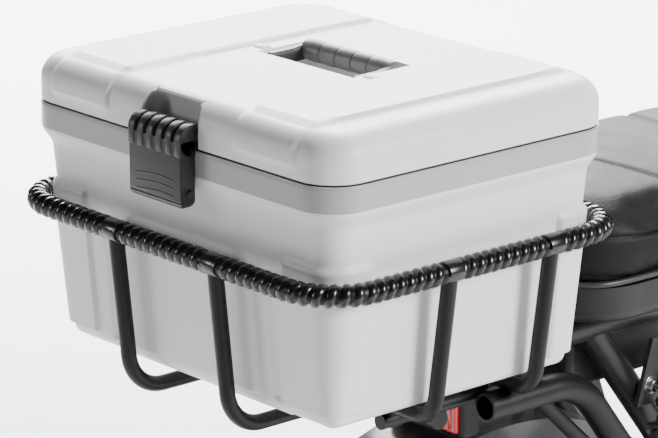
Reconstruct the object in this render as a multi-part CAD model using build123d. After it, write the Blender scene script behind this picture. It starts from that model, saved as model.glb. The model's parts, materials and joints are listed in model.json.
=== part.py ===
"""A seated electric moped with a rear carrier basket and a lidded cargo box.

Frame: +X forward, +Y to the rider's left, +Z up, in millimetres. The origin is on the ground, in the
middle of the machine's length. Every sub-part is written to parts/NODE.step.
"""

from build123d import *
import math
import os

os.makedirs("parts", exist_ok=True)

# ------------------------------------------------------------------ driving dimensions
WHEELBASE = 960.0
TYRE_RADIUS = 210.0
TYRE_WIDTH = 60.0
TYRE_WALL = 5.0
RIM_SEAT = 160.0  # radius that the tyre's beads sit on
RIM_WIDTH = 48.0
AXLE_RADIUS = 8.0

HEAD_ANGLE = 68.0  # degrees from the ground
FORK_OFFSET = 35.0
FORK_HALF_TRACK = 66.0
STANCHION_RADIUS = 14.0
LOWER_RADIUS = 19.0
STEERER_RADIUS = 14.3
HEAD_TUBE_BOTTOM = 330.0  # along the steering axis, from the axle
HEAD_TUBE_LENGTH = 120.0
BAR_HEIGHT = 780.0  # along the steering axis, from the axle
BAR_RADIUS = 11.1

SEAT_TOP = 661.0
SEAT_LENGTH = 335.0
SEAT_WIDTH = 250.0
SEAT_NOSE_WIDTH = 176.0
SEAT_FOAM = 70.0
SEAT_PAN_HEIGHT = 30.0

BOX_LENGTH = 280.0
BOX_WIDTH = 350.0
BOX_DEPTH = 186.0
BOX_CORNER = 32.0
BOX_WALL = 4.0
BOX_TAPER = 22.0  # how far each wall leans in, from the rim to the floor
RIM_BAND = 19.0
LID_HEIGHT = 36.0
LID_PAD = 2.5
BOX_BEHIND_AXLE = 160.0
SEAM_OVER_SEAT = 84.0
GASKET = 1.5

RING_LENGTH = 292.0
RING_WIDTH = 360.0
RING_CORNER = 42.0
RING_DROP = 77.0  # below the seam
ROD_RADIUS = 6.0
RING_ROD = 6.6
WRAP_RADIUS = 8.25
HOOP_Y = 57.5
HOOP_X = (-30.0, 70.0)

RAIL_RADIUS = 11.0
RAIL_HALF_TRACK = 133.0
DECK_HEIGHT = 182.0
FRAME_HALF_TRACK = 62.0
SWINGARM_LENGTH = 255.0
SHOCK_Y = 100.0
CLEAR = 0.1  # running clearance of a pin in its hole

# ------------------------------------------------------------------ places that follow from them
TOTAL_LENGTH = RING_LENGTH / 2 + WRAP_RADIUS + BOX_BEHIND_AXLE + WHEELBASE + TYRE_RADIUS
XB = -TOTAL_LENGTH / 2 + RING_LENGTH / 2 + WRAP_RADIUS  # middle of the cargo box
XR = XB + BOX_BEHIND_AXLE  # rear axle
XF = XR + WHEELBASE  # front axle
ZA = TYRE_RADIUS  # axle height
ZS = SEAT_TOP + SEAM_OVER_SEAT  # seam of the cargo box

FORK_AXIS = Plane(
    origin=(XF, 0, ZA),
    x_dir=(math.sin(math.radians(HEAD_ANGLE)), 0, math.cos(math.radians(HEAD_ANGLE))),
    z_dir=(-math.cos(math.radians(HEAD_ANGLE)), 0, math.sin(math.radians(HEAD_ANGLE))),
)
BOTTOM = (Align.CENTER, Align.CENTER, Align.MIN)


# ------------------------------------------------------------------ small helpers
def fork_point(x, y, z):
    """A point given in the fork's own frame, as a row-frame tuple."""
    return tuple(FORK_AXIS.from_local_coords(Vector(x, y, z)))


def block(x0, x1, y0, y1, z0, z1, edge=0.0):
    """A box between two corners, with its edges rounded when edge is given."""
    box = Box(x1 - x0, y1 - y0, z1 - z0)
    if edge:
        box = fillet(box.edges(), edge)
    return Pos((x0 + x1) / 2, (y0 + y1) / 2, (z0 + z1) / 2) * box


def rod_y(radius, x, z, y0, y1):
    """A cylinder along Y."""
    return Pos(x, (y0 + y1) / 2, z) * Rot(90, 0, 0) * Cylinder(radius, y1 - y0)


def ring_y(inner, outer, x, z, y0, y1):
    """A plain ring along Y."""
    return rod_y(outer, x, z, y0, y1) - rod_y(inner, x, z, y0 - 1, y1 + 1)


def plate(points, y0, y1):
    """A flat plate with an outline in X and Z, between two Y planes."""
    face = Pos(0, y1, 0) * (Plane.XZ * Polygon(*points, align=None))
    return extrude(face, amount=y1 - y0, dir=(0, -1, 0))


def tube(points, radius, bend=30.0, wall=0.0):
    """A round tube along straight runs joined by arcs. wall 0 makes it solid."""
    path = Line(*points) if len(points) == 2 else FilletPolyline(*points, radius=bend)
    section = Plane(origin=path @ 0, z_dir=path % 0)
    solid = sweep(section * Circle(radius), path=path)
    if wall:
        solid -= sweep(section * Circle(radius - wall), path=path)
    return solid


def mirrored(shape):
    """The same shape on the other side of the machine."""
    return mirror(shape, about=Plane.XZ)


def band(r0, r1, y0, y1):
    """A rectangle in the plane of a turned section: X is the radius, Y the width."""
    return Pos((r0 + r1) / 2, (y0 + y1) / 2) * Rectangle(r1 - r0, y1 - y0)


def turned(section, arc=360.0):
    """A section spun about the Y axis."""
    return revolve(section, axis=Axis.Y, revolution_arc=arc)


def save(name, *shapes):
    """Writes one sub-part, as one solid or as a group of separate solids."""
    solids = [solid for shape in shapes for solid in shape.solids()]
    whole = solids[0] if len(solids) == 1 else Compound(children=solids)
    whole.label = name
    export_step(whole, f"parts/{name}.step")


# ------------------------------------------------------------------ wheels and brakes
HUB_HALF = 30.0
DISC_RADIUS = 80.0
DISC_THICKNESS = 2.0
BEARING_RADIUS = 14.0
BEARING_WIDTH = 9.5
DRUM_RADIUS = 94.0
DRUM_WALL = 8.0
DRUM_HALF = 28.0
SPOKES = 5


def rim_section():
    """The rim: a drop well, two bead seats and two flanges."""
    half = RIM_WIDTH / 2
    section = band(RIM_SEAT - 12, RIM_SEAT - 8, -half, half)
    for side in (-1, 1):
        inner, outer = sorted((side * (half - 10), side * half))
        section += band(RIM_SEAT - 8, RIM_SEAT, inner, outer)
        inner, outer = sorted((side * (half - 3.5), side * half))
        section += band(RIM_SEAT, RIM_SEAT + 3, inner, outer)
    return section


def tyre():
    """A pneumatic tyre, open towards the rim."""
    middle = Pos(TYRE_RADIUS - TYRE_WIDTH / 2, 0)
    section = middle * Circle(TYRE_WIDTH / 2) - middle * Circle(TYRE_WIDTH / 2 - TYRE_WALL)
    section -= band(0, RIM_SEAT, -TYRE_WIDTH, TYRE_WIDTH)
    return turned(section - rim_section())


def spoke(inner, outer, root, tip, half_thickness):
    """One tapered cast spoke along +X."""
    outline = ((inner, -root), (outer, -tip), (outer, tip), (inner, root))
    return plate(outline, -half_thickness, half_thickness)


def disc(y0):
    """A drilled brake disc, starting at y0."""
    body = turned(band(BEARING_RADIUS, DISC_RADIUS, y0, y0 + DISC_THICKNESS))
    for ring_radius, count in ((68.0, 12), (45.0, 6)):
        for i in range(count):
            angle = 2 * math.pi * i / count
            x, z = ring_radius * math.cos(angle), ring_radius * math.sin(angle)
            body -= rod_y(6.0, x, z, y0 - 1, y0 + DISC_THICKNESS + 1)
    return body


def front_wheel():
    """The front wheel's tyre, casting, bearings, axle and disc."""
    at = Pos(XF, 0, ZA)
    hub = band(AXLE_RADIUS + 1, 24, -HUB_HALF, HUB_HALF)
    hub += band(BEARING_RADIUS, 32, -HUB_HALF, -HUB_HALF + 4)
    bearings = []
    for side in (-1, 1):
        inner, outer = sorted((side * (HUB_HALF - BEARING_WIDTH), side * HUB_HALF))
        hub -= band(0, BEARING_RADIUS, inner, outer)
        bearings.append(at * turned(band(AXLE_RADIUS + CLEAR / 2, BEARING_RADIUS, inner, outer)))
    casting = turned(rim_section()) + turned(hub)
    for i in range(SPOKES):
        casting += Rot(0, 360 / SPOKES * i, 0) * spoke(20, RIM_SEAT - 10, 14, 9, 7)
    save("front_tyre", at * tyre())
    save("front_wheel", at * casting)
    save("front_bearings", *bearings)
    save("front_disc", at * disc(-HUB_HALF - DISC_THICKNESS))
    outer = FORK_HALF_TRACK + LOWER_RADIUS
    axle = rod_y(AXLE_RADIUS, XF, ZA, -outer - 4, outer + 4)
    for side in (-1, 1):
        y0, y1 = sorted((side * outer, side * (outer + 9)))
        axle += rod_y(13, XF, ZA, y0, y1)
    save("front_axle", axle)


def rear_wheel():
    """The rear wheel: tyre, motor drum with its rim, covers, stator, axle and disc."""
    at = Pos(XR, 0, ZA)
    drum = turned(rim_section()) + turned(band(DRUM_RADIUS - DRUM_WALL, DRUM_RADIUS, -DRUM_HALF, DRUM_HALF))
    for i in range(SPOKES):
        drum += Rot(0, 360 / SPOKES * (i + 0.5), 0) * spoke(DRUM_RADIUS - 3, RIM_SEAT - 10, 20, 14, 12)
    covers = []
    for side in (-1, 1):
        inner, outer = sorted((side * (DRUM_HALF - 4), side * DRUM_HALF))
        cover = band(AXLE_RADIUS + CLEAR / 2, DRUM_RADIUS - DRUM_WALL, inner, outer)
        inner, outer = sorted((side * DRUM_HALF, side * (DRUM_HALF + 6)))
        cover += band(AXLE_RADIUS + CLEAR / 2, 32, inner, outer)
        covers.append(at * turned(cover))
    save("rear_tyre", at * tyre())
    save("rear_wheel", at * drum)
    save("motor_covers", *covers)
    save("motor_stator", at * turned(band(AXLE_RADIUS, DRUM_RADIUS - DRUM_WALL - 6, -18, 18)))
    save("rear_disc", at * disc(DRUM_HALF + 6))
    outer = FRAME_HALF_TRACK + 8
    axle = rod_y(AXLE_RADIUS, XR, ZA, -outer - 10, outer + 10)
    for side in (-1, 1):
        y0, y1 = sorted((side * outer, side * (outer + 8)))
        axle += rod_y(13, XR, ZA, y0, y1)
    save("rear_axle", axle)


def calipers():
    """The two brake calipers, each straddling its disc."""
    gap = 1.0
    y = -HUB_HALF - DISC_THICKNESS
    body = block(-98, -56, -45, -18, 12, 66, 4)
    body += block(-70, -8, -FORK_HALF_TRACK + 6, -FORK_HALF_TRACK + 22, 26, 52)
    body -= block(-84, -30, y - gap, y + DISC_THICKNESS + gap, -40, 90)
    body = FORK_AXIS * body
    body -= FORK_AXIS * (Pos(0, -FORK_HALF_TRACK, -60) * Cylinder(LOWER_RADIUS, 400, align=BOTTOM))
    save("front_caliper", body)
    y = DRUM_HALF + 6
    arm = FRAME_HALF_TRACK - 12
    body = block(48, 92, y - 4.5, arm, 26, 74, 4) + block(20, 60, arm - 6, arm, 24, 50)
    slot = turned(band(0, DISC_RADIUS + 3, y - gap, y + DISC_THICKNESS + gap))
    save("rear_caliper", Pos(XR, 0, ZA) * (body - slot))


# ------------------------------------------------------------------ fork and steering
CROWN_Z = 300.0
CROWN_HEIGHT = 26.0
LOWER_TOP = 192.0
HOSE_RADIUS = 2.5
HOSE_GUIDE = (-44.0, -70.0)  # the guide tube on the crown, in the fork's frame
GUIDE_HEIGHT = 56.0


def fork():
    """Lowers, stanchions, crown with its steerer, headset bearings and front mudguard."""
    lowers = []
    stanchions = []
    for side in (-1, 1):
        at = Pos(0, side * FORK_HALF_TRACK, 0)
        leg = at * (Pos(0, 0, -26) * Cylinder(LOWER_RADIUS, LOWER_TOP + 26, align=BOTTOM))
        leg += at * (Pos(0, 0, LOWER_TOP - 14) * Cylinder(LOWER_RADIUS + 2, 14, align=BOTTOM))
        leg -= at * (Pos(0, 0, 60) * Cylinder(STANCHION_RADIUS + CLEAR, LOWER_TOP, align=BOTTOM))
        leg -= rod_y(AXLE_RADIUS, 0, 0, -200, 200)
        lowers.append(FORK_AXIS * leg)
        tube_height = CROWN_Z + CROWN_HEIGHT - 110
        inner = at * (Pos(0, 0, 110) * Cylinder(STANCHION_RADIUS, tube_height, align=BOTTOM))
        inner -= at * (Pos(0, 0, 106) * Cylinder(STANCHION_RADIUS - 2.5, tube_height - 10, align=BOTTOM))
        stanchions.append(FORK_AXIS * inner)
    save("fork_lowers", *lowers)
    save("fork_stanchions", *stanchions)

    half = FORK_HALF_TRACK + STANCHION_RADIUS + 7
    crown = block(-FORK_OFFSET - 22, 22, -half, half, CROWN_Z, CROWN_Z + CROWN_HEIGHT, 6)
    top = HEAD_TUBE_BOTTOM + HEAD_TUBE_LENGTH + 14
    steerer = Pos(-FORK_OFFSET, 0, CROWN_Z + 4) * Cylinder(STEERER_RADIUS, top - CROWN_Z - 4, align=BOTTOM)
    crown += steerer
    for side in (-1, 1):
        crown -= Pos(0, side * FORK_HALF_TRACK, 0) * Cylinder(STANCHION_RADIUS, 400, align=BOTTOM)
    crown += Pos(*HOSE_GUIDE, CROWN_Z - 4) * Cylinder(6, GUIDE_HEIGHT + 4, align=BOTTOM)
    crown -= Pos(*HOSE_GUIDE, CROWN_Z - 6) * Cylinder(HOSE_RADIUS + 0.6, GUIDE_HEIGHT + 8, align=BOTTOM)
    save("fork_crown", FORK_AXIS * crown)

    races = []
    for z in (HEAD_TUBE_BOTTOM, HEAD_TUBE_BOTTOM + HEAD_TUBE_LENGTH - 10):
        race = Pos(-FORK_OFFSET, 0, z) * Cylinder(HEAD_TUBE_BORE, 10, align=BOTTOM)
        race -= Pos(-FORK_OFFSET, 0, z) * Cylinder(STEERER_RADIUS + CLEAR / 2, 10, align=BOTTOM)
        races.append(FORK_AXIS * race)
    save("headset_bearings", *races)

    inner = TYRE_RADIUS + 12
    skin = band(inner, inner + 2.5, -40, 40)
    skin += band(inner - 14, inner, 37.5, 40) + band(inner - 14, inner, -40, -37.5)
    guard = Pos(XF, 0, ZA) * Rot(0, -155, 0) * turned(skin, 130)
    stay = block(-9, 9, 40, FORK_HALF_TRACK - 8, inner - 40, inner - 26)
    stay += block(-9, 9, 37.5, 41, inner - 40, inner + 1)
    stay -= Pos(0, FORK_HALF_TRACK, 0) * Cylinder(LOWER_RADIUS + 2, 400, align=BOTTOM)
    guard += FORK_AXIS * stay + FORK_AXIS * mirrored(stay)
    save("front_mudguard", guard)


HEAD_TUBE_RADIUS = 24.0
HEAD_TUBE_BORE = 19.5
STEM_RADIUS = 17.0
BAR_RISE = 58.0
BAR_ELBOW = 140.0
BAR_SWEEP = 15.4  # degrees that each grip points back
GRIP_START = 75.0  # from the elbow to the grip's inner end
GRIP_LENGTH = 118.0

CLAMP = Vector(*fork_point(-FORK_OFFSET, 0, BAR_HEIGHT))
ELBOW = CLAMP + Vector(-4, BAR_ELBOW, BAR_RISE)
SWEEP = Vector(-math.sin(math.radians(BAR_SWEEP)), math.cos(math.radians(BAR_SWEEP)), 0)
GRIP = Plane(
    origin=ELBOW + SWEEP * GRIP_START,
    x_dir=(math.cos(math.radians(BAR_SWEEP)), math.sin(math.radians(BAR_SWEEP)), 0),
    z_dir=SWEEP,
)


def around_bar(outer, z0, z1):
    """A sleeve on the left grip's axis, in the grip's own frame."""
    sleeve = Pos(0, 0, z0) * Cylinder(outer, z1 - z0, align=BOTTOM)
    return sleeve - Pos(0, 0, z0 - 1) * Cylinder(BAR_RADIUS, z1 - z0 + 2, align=BOTTOM)


def handlebar():
    """Stem, bar, grips, brake levers and their perches."""
    foot = HEAD_TUBE_BOTTOM + HEAD_TUBE_LENGTH + 4
    length = BAR_HEIGHT - foot
    post = Pos(-FORK_OFFSET, 0, foot) * Cylinder(STEM_RADIUS, length, align=BOTTOM)
    post += Pos(-FORK_OFFSET, 0, foot) * Cylinder(HEAD_TUBE_RADIUS, 12, align=BOTTOM)
    post -= Pos(-FORK_OFFSET, 0, foot - 1) * Cylinder(STEM_RADIUS - 2.7, length - 24, align=BOTTOM)
    stem = FORK_AXIS * post + rod_y(19, CLAMP.X, CLAMP.Z, -27, 27)
    stem -= rod_y(BAR_RADIUS, CLAMP.X, CLAMP.Z, -30, 30)
    save("stem", stem)

    end = ELBOW + SWEEP * (GRIP_START + GRIP_LENGTH + 3)
    half = [CLAMP + Vector(0, 62, 0), ELBOW, end]
    points = [(p.X, -p.Y, p.Z) for p in reversed(half)] + [(p.X, p.Y, p.Z) for p in half]
    save("handlebar", tube(points, BAR_RADIUS, 42, 2))

    grip = around_bar(16, 0, GRIP_LENGTH) + around_bar(20, 0, 4)
    save("left_grip", GRIP * grip)
    throttle = Cylinder(16, GRIP_LENGTH, align=BOTTOM)
    throttle += Cylinder(20, 4, align=BOTTOM)
    throttle -= Pos(0, 0, -1) * Cylinder(BAR_RADIUS + CLEAR, GRIP_LENGTH + 2, align=BOTTOM)
    save("throttle_grip", mirrored(GRIP * throttle))

    perch = around_bar(17, -31, -9)
    for side in (-1, 1):
        y0, y1 = sorted((side * 5.3, side * 9.0))
        perch += block(8, 40, y0, y1, -31, -9)
    perch += block(12, 21, -9, 9, -31, -9)
    perch -= Pos(0, 0, -40) * Cylinder(BAR_RADIUS, 60, align=BOTTOM)
    perch += rod_y(3, 31, -20, -9, 9)
    outline = ((24.5, -27), (37, -28), (46, -12), (61, 40), (64, 104),
               (58, 106), (53, 42), (38, -4), (24.5, -12))
    lever = plate(outline, -5, 5)
    lever = fillet(lever.edges().filter_by(GeomType.LINE).filter_by(Axis.Y, reverse=True), 1.5)
    lever -= rod_y(3 + CLEAR, 31, -20, -9, 9)
    save("brake_perches", GRIP * perch, mirrored(GRIP * perch))
    save("brake_lever_left", GRIP * lever)
    save("brake_lever_right", mirrored(GRIP * lever))


POD_FROM, POD_TO = -62.0, -35.0
BUTTON_RADIUS = 6.0


def controls():
    """Switch pod with its horn button, display and head lamp."""
    pod = block(-18, 18, -20, 19, POD_FROM, POD_TO, 4)
    pod -= Pos(0, 0, POD_FROM - 10) * Cylinder(BAR_RADIUS, 60, align=BOTTOM)
    middle = (POD_FROM + POD_TO) / 2
    well = Pos(-19, 0, middle) * Rot(0, 90, 0) * Cylinder(BUTTON_RADIUS + CLEAR, 7, align=BOTTOM)
    save("switch_pod", GRIP * (pod - well))
    button = Pos(-21, 0, middle) * Rot(0, 90, 0) * Cylinder(BUTTON_RADIUS, 6, align=BOTTOM)
    save("horn_button", GRIP * button)

    screen = Rot(0, -28, 0) * fillet(Box(56, 88, 16).edges(), 4)
    display = Pos(CLAMP.X - 4, 0, CLAMP.Z + 38) * screen
    for side in (-1, 1):
        y0, y1 = sorted((side * 31, side * 38))
        display += block(CLAMP.X - 9, CLAMP.X + 3, y0, y1, CLAMP.Z + 4, CLAMP.Z + 34)
        display += rod_y(15, CLAMP.X, CLAMP.Z, y0, y1)
    display -= rod_y(BAR_RADIUS, CLAMP.X, CLAMP.Z, -60, 60)
    save("display", display)

    at = Vector(*fork_point(-FORK_OFFSET, 0, 560))
    lamp = Pos(at.X + 92, 0, at.Z) * Rot(0, -90, 0) * Cylinder(44, 52, align=BOTTOM)
    lamp = fillet(lamp.edges().filter_by(GeomType.CIRCLE).sort_by(Axis.X)[0], 16)
    lamp -= Pos(at.X + 93, 0, at.Z) * Rot(0, -90, 0) * Cylinder(39, 36, align=BOTTOM)
    arm = block(at.X, at.X + 46, -11, 11, at.Z - 12, at.Z + 12)
    arm += FORK_AXIS * (Pos(-FORK_OFFSET, 0, 540) * Cylinder(STEM_RADIUS + 5, 40, align=BOTTOM))
    arm -= FORK_AXIS * (Pos(-FORK_OFFSET, 0, 500) * Cylinder(STEM_RADIUS, 140, align=BOTTOM))
    save("headlamp_housing", lamp + arm)
    lens = Pos(at.X + 92, 0, at.Z) * Rot(0, -90, 0) * Cylinder(39, 4, align=BOTTOM)
    save("headlamp_lens", lens)


def hoses():
    """The leads from the two levers, and the hoses that run to the two calipers."""
    start = (GRIP * Pos(25, 0, -32.5)).position
    drop = (GRIP * Pos(31, 5, -80)).position
    port = fork_point(-FORK_OFFSET + STEM_RADIUS - 2, 6, 640)
    left = [
        (start.X, start.Y, start.Z),
        (drop.X + 6, drop.Y, drop.Z),
        (CLAMP.X + 62, 62, CLAMP.Z - 6),
        (port[0] + 48, 10, port[2] + 52),
        port,
    ]
    right = [
        (start.X, -start.Y, start.Z),
        (drop.X + 6, -drop.Y, drop.Z),
        (CLAMP.X + 66, -78, CLAMP.Z - 20),
        fork_point(HOSE_GUIDE[0] + 24, HOSE_GUIDE[1] - 8, 560),
        fork_point(*HOSE_GUIDE, 470),
        fork_point(*HOSE_GUIDE, CROWN_Z + GUIDE_HEIGHT - 10),
    ]
    save("control_leads", tube(left, HOSE_RADIUS, 26), tube(right, HOSE_RADIUS, 26))
    route = ((*HOSE_GUIDE, CROWN_Z + 8), (*HOSE_GUIDE, 220), (-76, -50, 140), (-77, -33, 68))
    save("front_brake_hose", tube([fork_point(*p) for p in route], HOSE_RADIUS, 45))
    caliper = DRUM_HALF + 12
    route = (
        (XR + 74, caliper, ZA + 75),
        (XR + 92, caliper + 4, ZA + 112),
        (XR + 146, FRAME_HALF_TRACK - 4, ZA + 40),
        (XR + 232, FRAME_HALF_TRACK - 4, ZA + 38),
    )
    save("rear_brake_hose", tube(route, HOSE_RADIUS, 9))


# ------------------------------------------------------------------ frame
DECK_RAIL_Y = 78.0
DECK_RAIL_WIDTH = 30.0
DECK_RAIL_TOP = DECK_HEIGHT - 8
DECK_RAIL_HEIGHT = 34.0
DECK_REAR = XR + 285
DECK_FRONT = XF - 322
TOWER_RADIUS = 14.0
SEAT_RAIL_Z = SEAT_TOP - SEAT_FOAM - SEAT_PAN_HEIGHT - TOWER_RADIUS - 2
PIVOT_X = XR + SWINGARM_LENGTH
PIVOT_Z = ZA + 18
STAND_X = XR + 324
STAND_Z = 122.0
SEAT_PIN_X = XR + 5 + SEAT_LENGTH + 12
SEAT_PIN_Z = SEAT_TOP - SEAT_FOAM - SEAT_PAN_HEIGHT + 5
SHOCK_TOP = (XR + 150, 505.0)
SHOCK_BOTTOM = (XR + 14, 262.0)
RACK_FOOT = (XR + 150, 316.0)
STUD_RADIUS = 6.0
PLATE_Y = FRAME_HALF_TRACK + TOWER_RADIUS


def neck_path():
    """The down tube's centre line, from the head tube to the deck."""
    start = fork_point(-FORK_OFFSET, 0, HEAD_TUBE_BOTTOM + HEAD_TUBE_LENGTH / 2)
    return [start, (XF - 262, 0, 330), (XF - 336, 0, DECK_RAIL_TOP - 12)]


def frame():
    """The welded frame, in three pieces, and the plates bolted to its sides."""
    top = Pos(-FORK_OFFSET, 0, HEAD_TUBE_BOTTOM) * Cylinder(HEAD_TUBE_RADIUS, HEAD_TUBE_LENGTH, align=BOTTOM)
    bore = Pos(-FORK_OFFSET, 0, HEAD_TUBE_BOTTOM) * Cylinder(HEAD_TUBE_BORE, HEAD_TUBE_LENGTH, align=BOTTOM)
    neck = FORK_AXIS * top + tube(neck_path(), 22, 150)
    neck -= tube(neck_path(), 19.5, 150)
    neck -= FORK_AXIS * bore
    bottom = DECK_RAIL_TOP - DECK_RAIL_HEIGHT
    front = block(DECK_FRONT - 30, DECK_FRONT, -93, 93, bottom, DECK_RAIL_TOP, 3)
    save("frame_neck", neck - front)

    side = DECK_RAIL_WIDTH / 2
    deck = front
    for y in (-DECK_RAIL_Y, DECK_RAIL_Y):
        rail = block(DECK_REAR, DECK_FRONT - 5, y - side, y + side, bottom, DECK_RAIL_TOP)
        rail -= block(DECK_REAR + 12, DECK_FRONT - 40, y - side + 3, y + side - 3,
                      bottom + 3, DECK_RAIL_TOP - 3)
        deck += rail
        sign = 1 if y > 0 else -1
        y0, y1 = sorted((sign * 84, sign * 90))
        ear = plate(((STAND_X - 22, bottom + 2), (STAND_X - 15, STAND_Z - 14), (STAND_X + 15, STAND_Z - 14),
                     (STAND_X + 22, bottom + 2)), y0, y1)
        deck += ear
    deck += block(DECK_REAR, DECK_REAR + 28, -DECK_RAIL_Y, DECK_RAIL_Y, bottom, DECK_RAIL_TOP)
    deck -= rod_y(AXLE_RADIUS, STAND_X, STAND_Z, -120, 120)
    save("frame_deck", deck)

    tower = None
    for sign in (-1, 1):
        y = sign * FRAME_HALF_TRACK
        leg = tube([(XR + 299, y, DECK_RAIL_TOP - 20), (XR + 318, y, SEAT_RAIL_Z), (XR + 30, y, SEAT_RAIL_Z)],
                   TOWER_RADIUS, 52)
        leg -= block(XR + 260, XR + 340, y - 30, y + 30, DECK_RAIL_TOP - 60, DECK_RAIL_TOP)
        leg += tube([(XR + 66, y, SEAT_RAIL_Z), (XR + 292, y, PIVOT_Z + 22)], TOWER_RADIUS - 2)
        y0, y1 = sorted((sign * (FRAME_HALF_TRACK + 11.5), sign * (FRAME_HALF_TRACK + 17)))
        leg += plate(((PIVOT_X - 20, PIVOT_Z - 18), (XR + 300, PIVOT_Z - 26), (XR + 308, PIVOT_Z + 70),
                      (PIVOT_X - 4, PIVOT_Z + 30)), y0, y1)
        tower = leg if tower is None else tower + leg
    for x, z in ((XR + 44, SEAT_RAIL_Z), (XR + 290, SEAT_RAIL_Z), (XR + 309, 380), (XR + 303, PIVOT_Z + 20)):
        tower += rod_y(9, x, z, -FRAME_HALF_TRACK, FRAME_HALF_TRACK)
    for sign in (-1, 1):
        y0, y1 = sorted((sign * 21, sign * 27))
        lug = ((XR + 284, SEAT_RAIL_Z - 8), (SEAT_PIN_X + 7, SEAT_PIN_Z - 8),
               (SEAT_PIN_X + 7, SEAT_PIN_Z + 7), (SEAT_PIN_X - 7, SEAT_PIN_Z + 7),
               (SEAT_PIN_X - 10, SEAT_PIN_Z - 5), (XR + 290, SEAT_RAIL_Z + 9))
        tower += plate(lug, y0, y1)
    tower -= rod_y(AXLE_RADIUS, PIVOT_X, PIVOT_Z, -120, 120)
    tower -= rod_y(3, SEAT_PIN_X, SEAT_PIN_Z, -60, 60)
    save("frame_seat_tower", tower)

    outline = ((XR + 108, 470), (XR + 124, 524), (XR + 186, 524), (XR + 262, 330), (XR + 244, 296),
               (XR + 136, 296), (XR + 132, 340), (XR + 170, 410), (XR + 150, 470))
    side_plate = plate(outline, PLATE_Y, PLATE_Y + 4)
    side_plate += rod_y(STUD_RADIUS, *SHOCK_TOP, PLATE_Y + 2, SHOCK_Y + 16)
    side_plate += rod_y(8, *RACK_FOOT, PLATE_Y + 2, RAIL_HALF_TRACK - RAIL_RADIUS + 4)
    save("side_plates", side_plate, mirrored(side_plate))

    pins = [rod_y(AXLE_RADIUS, PIVOT_X, PIVOT_Z, -88, 88), rod_y(AXLE_RADIUS, STAND_X, STAND_Z, -96, 96)]
    pins.append(rod_y(3, SEAT_PIN_X, SEAT_PIN_Z, -32, 32))
    for y in (-HINGE_Y, HINGE_Y):
        pins.append(rod_y(HINGE_PIN, XB + HINGE_X, ZS + HINGE_Z, y - 22, y + 22))
    save("hinge_pins", *pins)


def deck():
    """Foot board, battery case and controller."""
    board = block(DECK_REAR + 34, DECK_FRONT - 2, -116, 116, DECK_RAIL_TOP, DECK_HEIGHT)
    board = fillet(board.edges().filter_by(Axis.Z), 26)
    board = fillet(board.edges().group_by(Axis.Z)[-1], 3)
    save("foot_board", board - tube(neck_path(), 24, 150))
    case = block(XR + 346, DECK_FRONT - 40, -60, 60, DECK_RAIL_TOP - 62, DECK_RAIL_TOP - 0.5, 8)
    save("battery_case", case)
    save("controller_box", block(XR + 64, XR + 278, -46, 46, 484, SEAT_RAIL_Z - 12, 6))


EYE_PLAY = 0.9  # the lower eye's rubber bush, which takes up the change of angle


def suspension():
    """Swingarm, and the two spring shocks."""
    arms = None
    for sign in (-1, 1):
        y0, y1 = sorted((sign * (FRAME_HALF_TRACK - 12), sign * (FRAME_HALF_TRACK + 8)))
        outline = ((XR - 26, ZA - 14), (PIVOT_X, PIVOT_Z - 17), (PIVOT_X, PIVOT_Z + 17), (XR + 60, ZA + 26),
                   (XR + 32, ZA + 66), (XR - 2, ZA + 66), (XR - 26, ZA + 14))
        arm = plate(outline, y0, y1)
        ends = sorted((sign * (FRAME_HALF_TRACK + 4), sign * (SHOCK_Y + 16)))
        arm += rod_y(STUD_RADIUS, *SHOCK_BOTTOM, *ends)
        arms = arm if arms is None else arms + arm
    arms += rod_y(18, PIVOT_X, PIVOT_Z, -FRAME_HALF_TRACK - 10, FRAME_HALF_TRACK + 10)
    arms -= rod_y(AXLE_RADIUS + CLEAR, PIVOT_X, PIVOT_Z, -90, 90)
    arms -= rod_y(AXLE_RADIUS, XR, ZA, -90, 90)
    save("swingarm", arms)

    top = Vector(SHOCK_TOP[0], SHOCK_Y, SHOCK_TOP[1])
    bottom = Vector(SHOCK_BOTTOM[0], SHOCK_Y, SHOCK_BOTTOM[1])
    down = (bottom - top).normalized()
    length = (bottom - top).length
    axis = Plane(origin=top, x_dir=(0, 1, 0), z_dir=down)
    body = Pos(0, 0, 8) * Cylinder(11, length * 0.5, align=BOTTOM)
    body += Pos(0, 0, 22) * Cylinder(18, 6, align=BOTTOM)
    body -= Pos(0, 0, 40) * Cylinder(6 + CLEAR, length, align=BOTTOM)
    body = axis * body + rod_y(13, top.X, top.Z, SHOCK_Y - 11, SHOCK_Y + 11)
    body -= rod_y(STUD_RADIUS + CLEAR, top.X, top.Z, SHOCK_Y - 30, SHOCK_Y + 30)
    rod = Pos(0, 0, 100) * Cylinder(6, length - 108, align=BOTTOM)
    rod += Pos(0, 0, length - 32) * Cylinder(18, 6, align=BOTTOM)
    rod += Pos(0, 0, length - 26) * Cylinder(9, 18, align=BOTTOM)
    rod = axis * rod + rod_y(13, bottom.X, bottom.Z, SHOCK_Y - 11, SHOCK_Y + 11)
    rod -= rod_y(STUD_RADIUS + EYE_PLAY, bottom.X, bottom.Z, SHOCK_Y - 30, SHOCK_Y + 30)
    coil = Pos(0, 0, 28) * Cylinder(17, length - 60, align=BOTTOM)
    coil -= Pos(0, 0, 28) * Cylinder(12, length - 60, align=BOTTOM)
    coil = axis * coil
    save("shock_bodies", body, mirrored(body))
    save("shock_rods", rod, mirrored(rod))
    save("shock_springs", coil, mirrored(coil))



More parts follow.
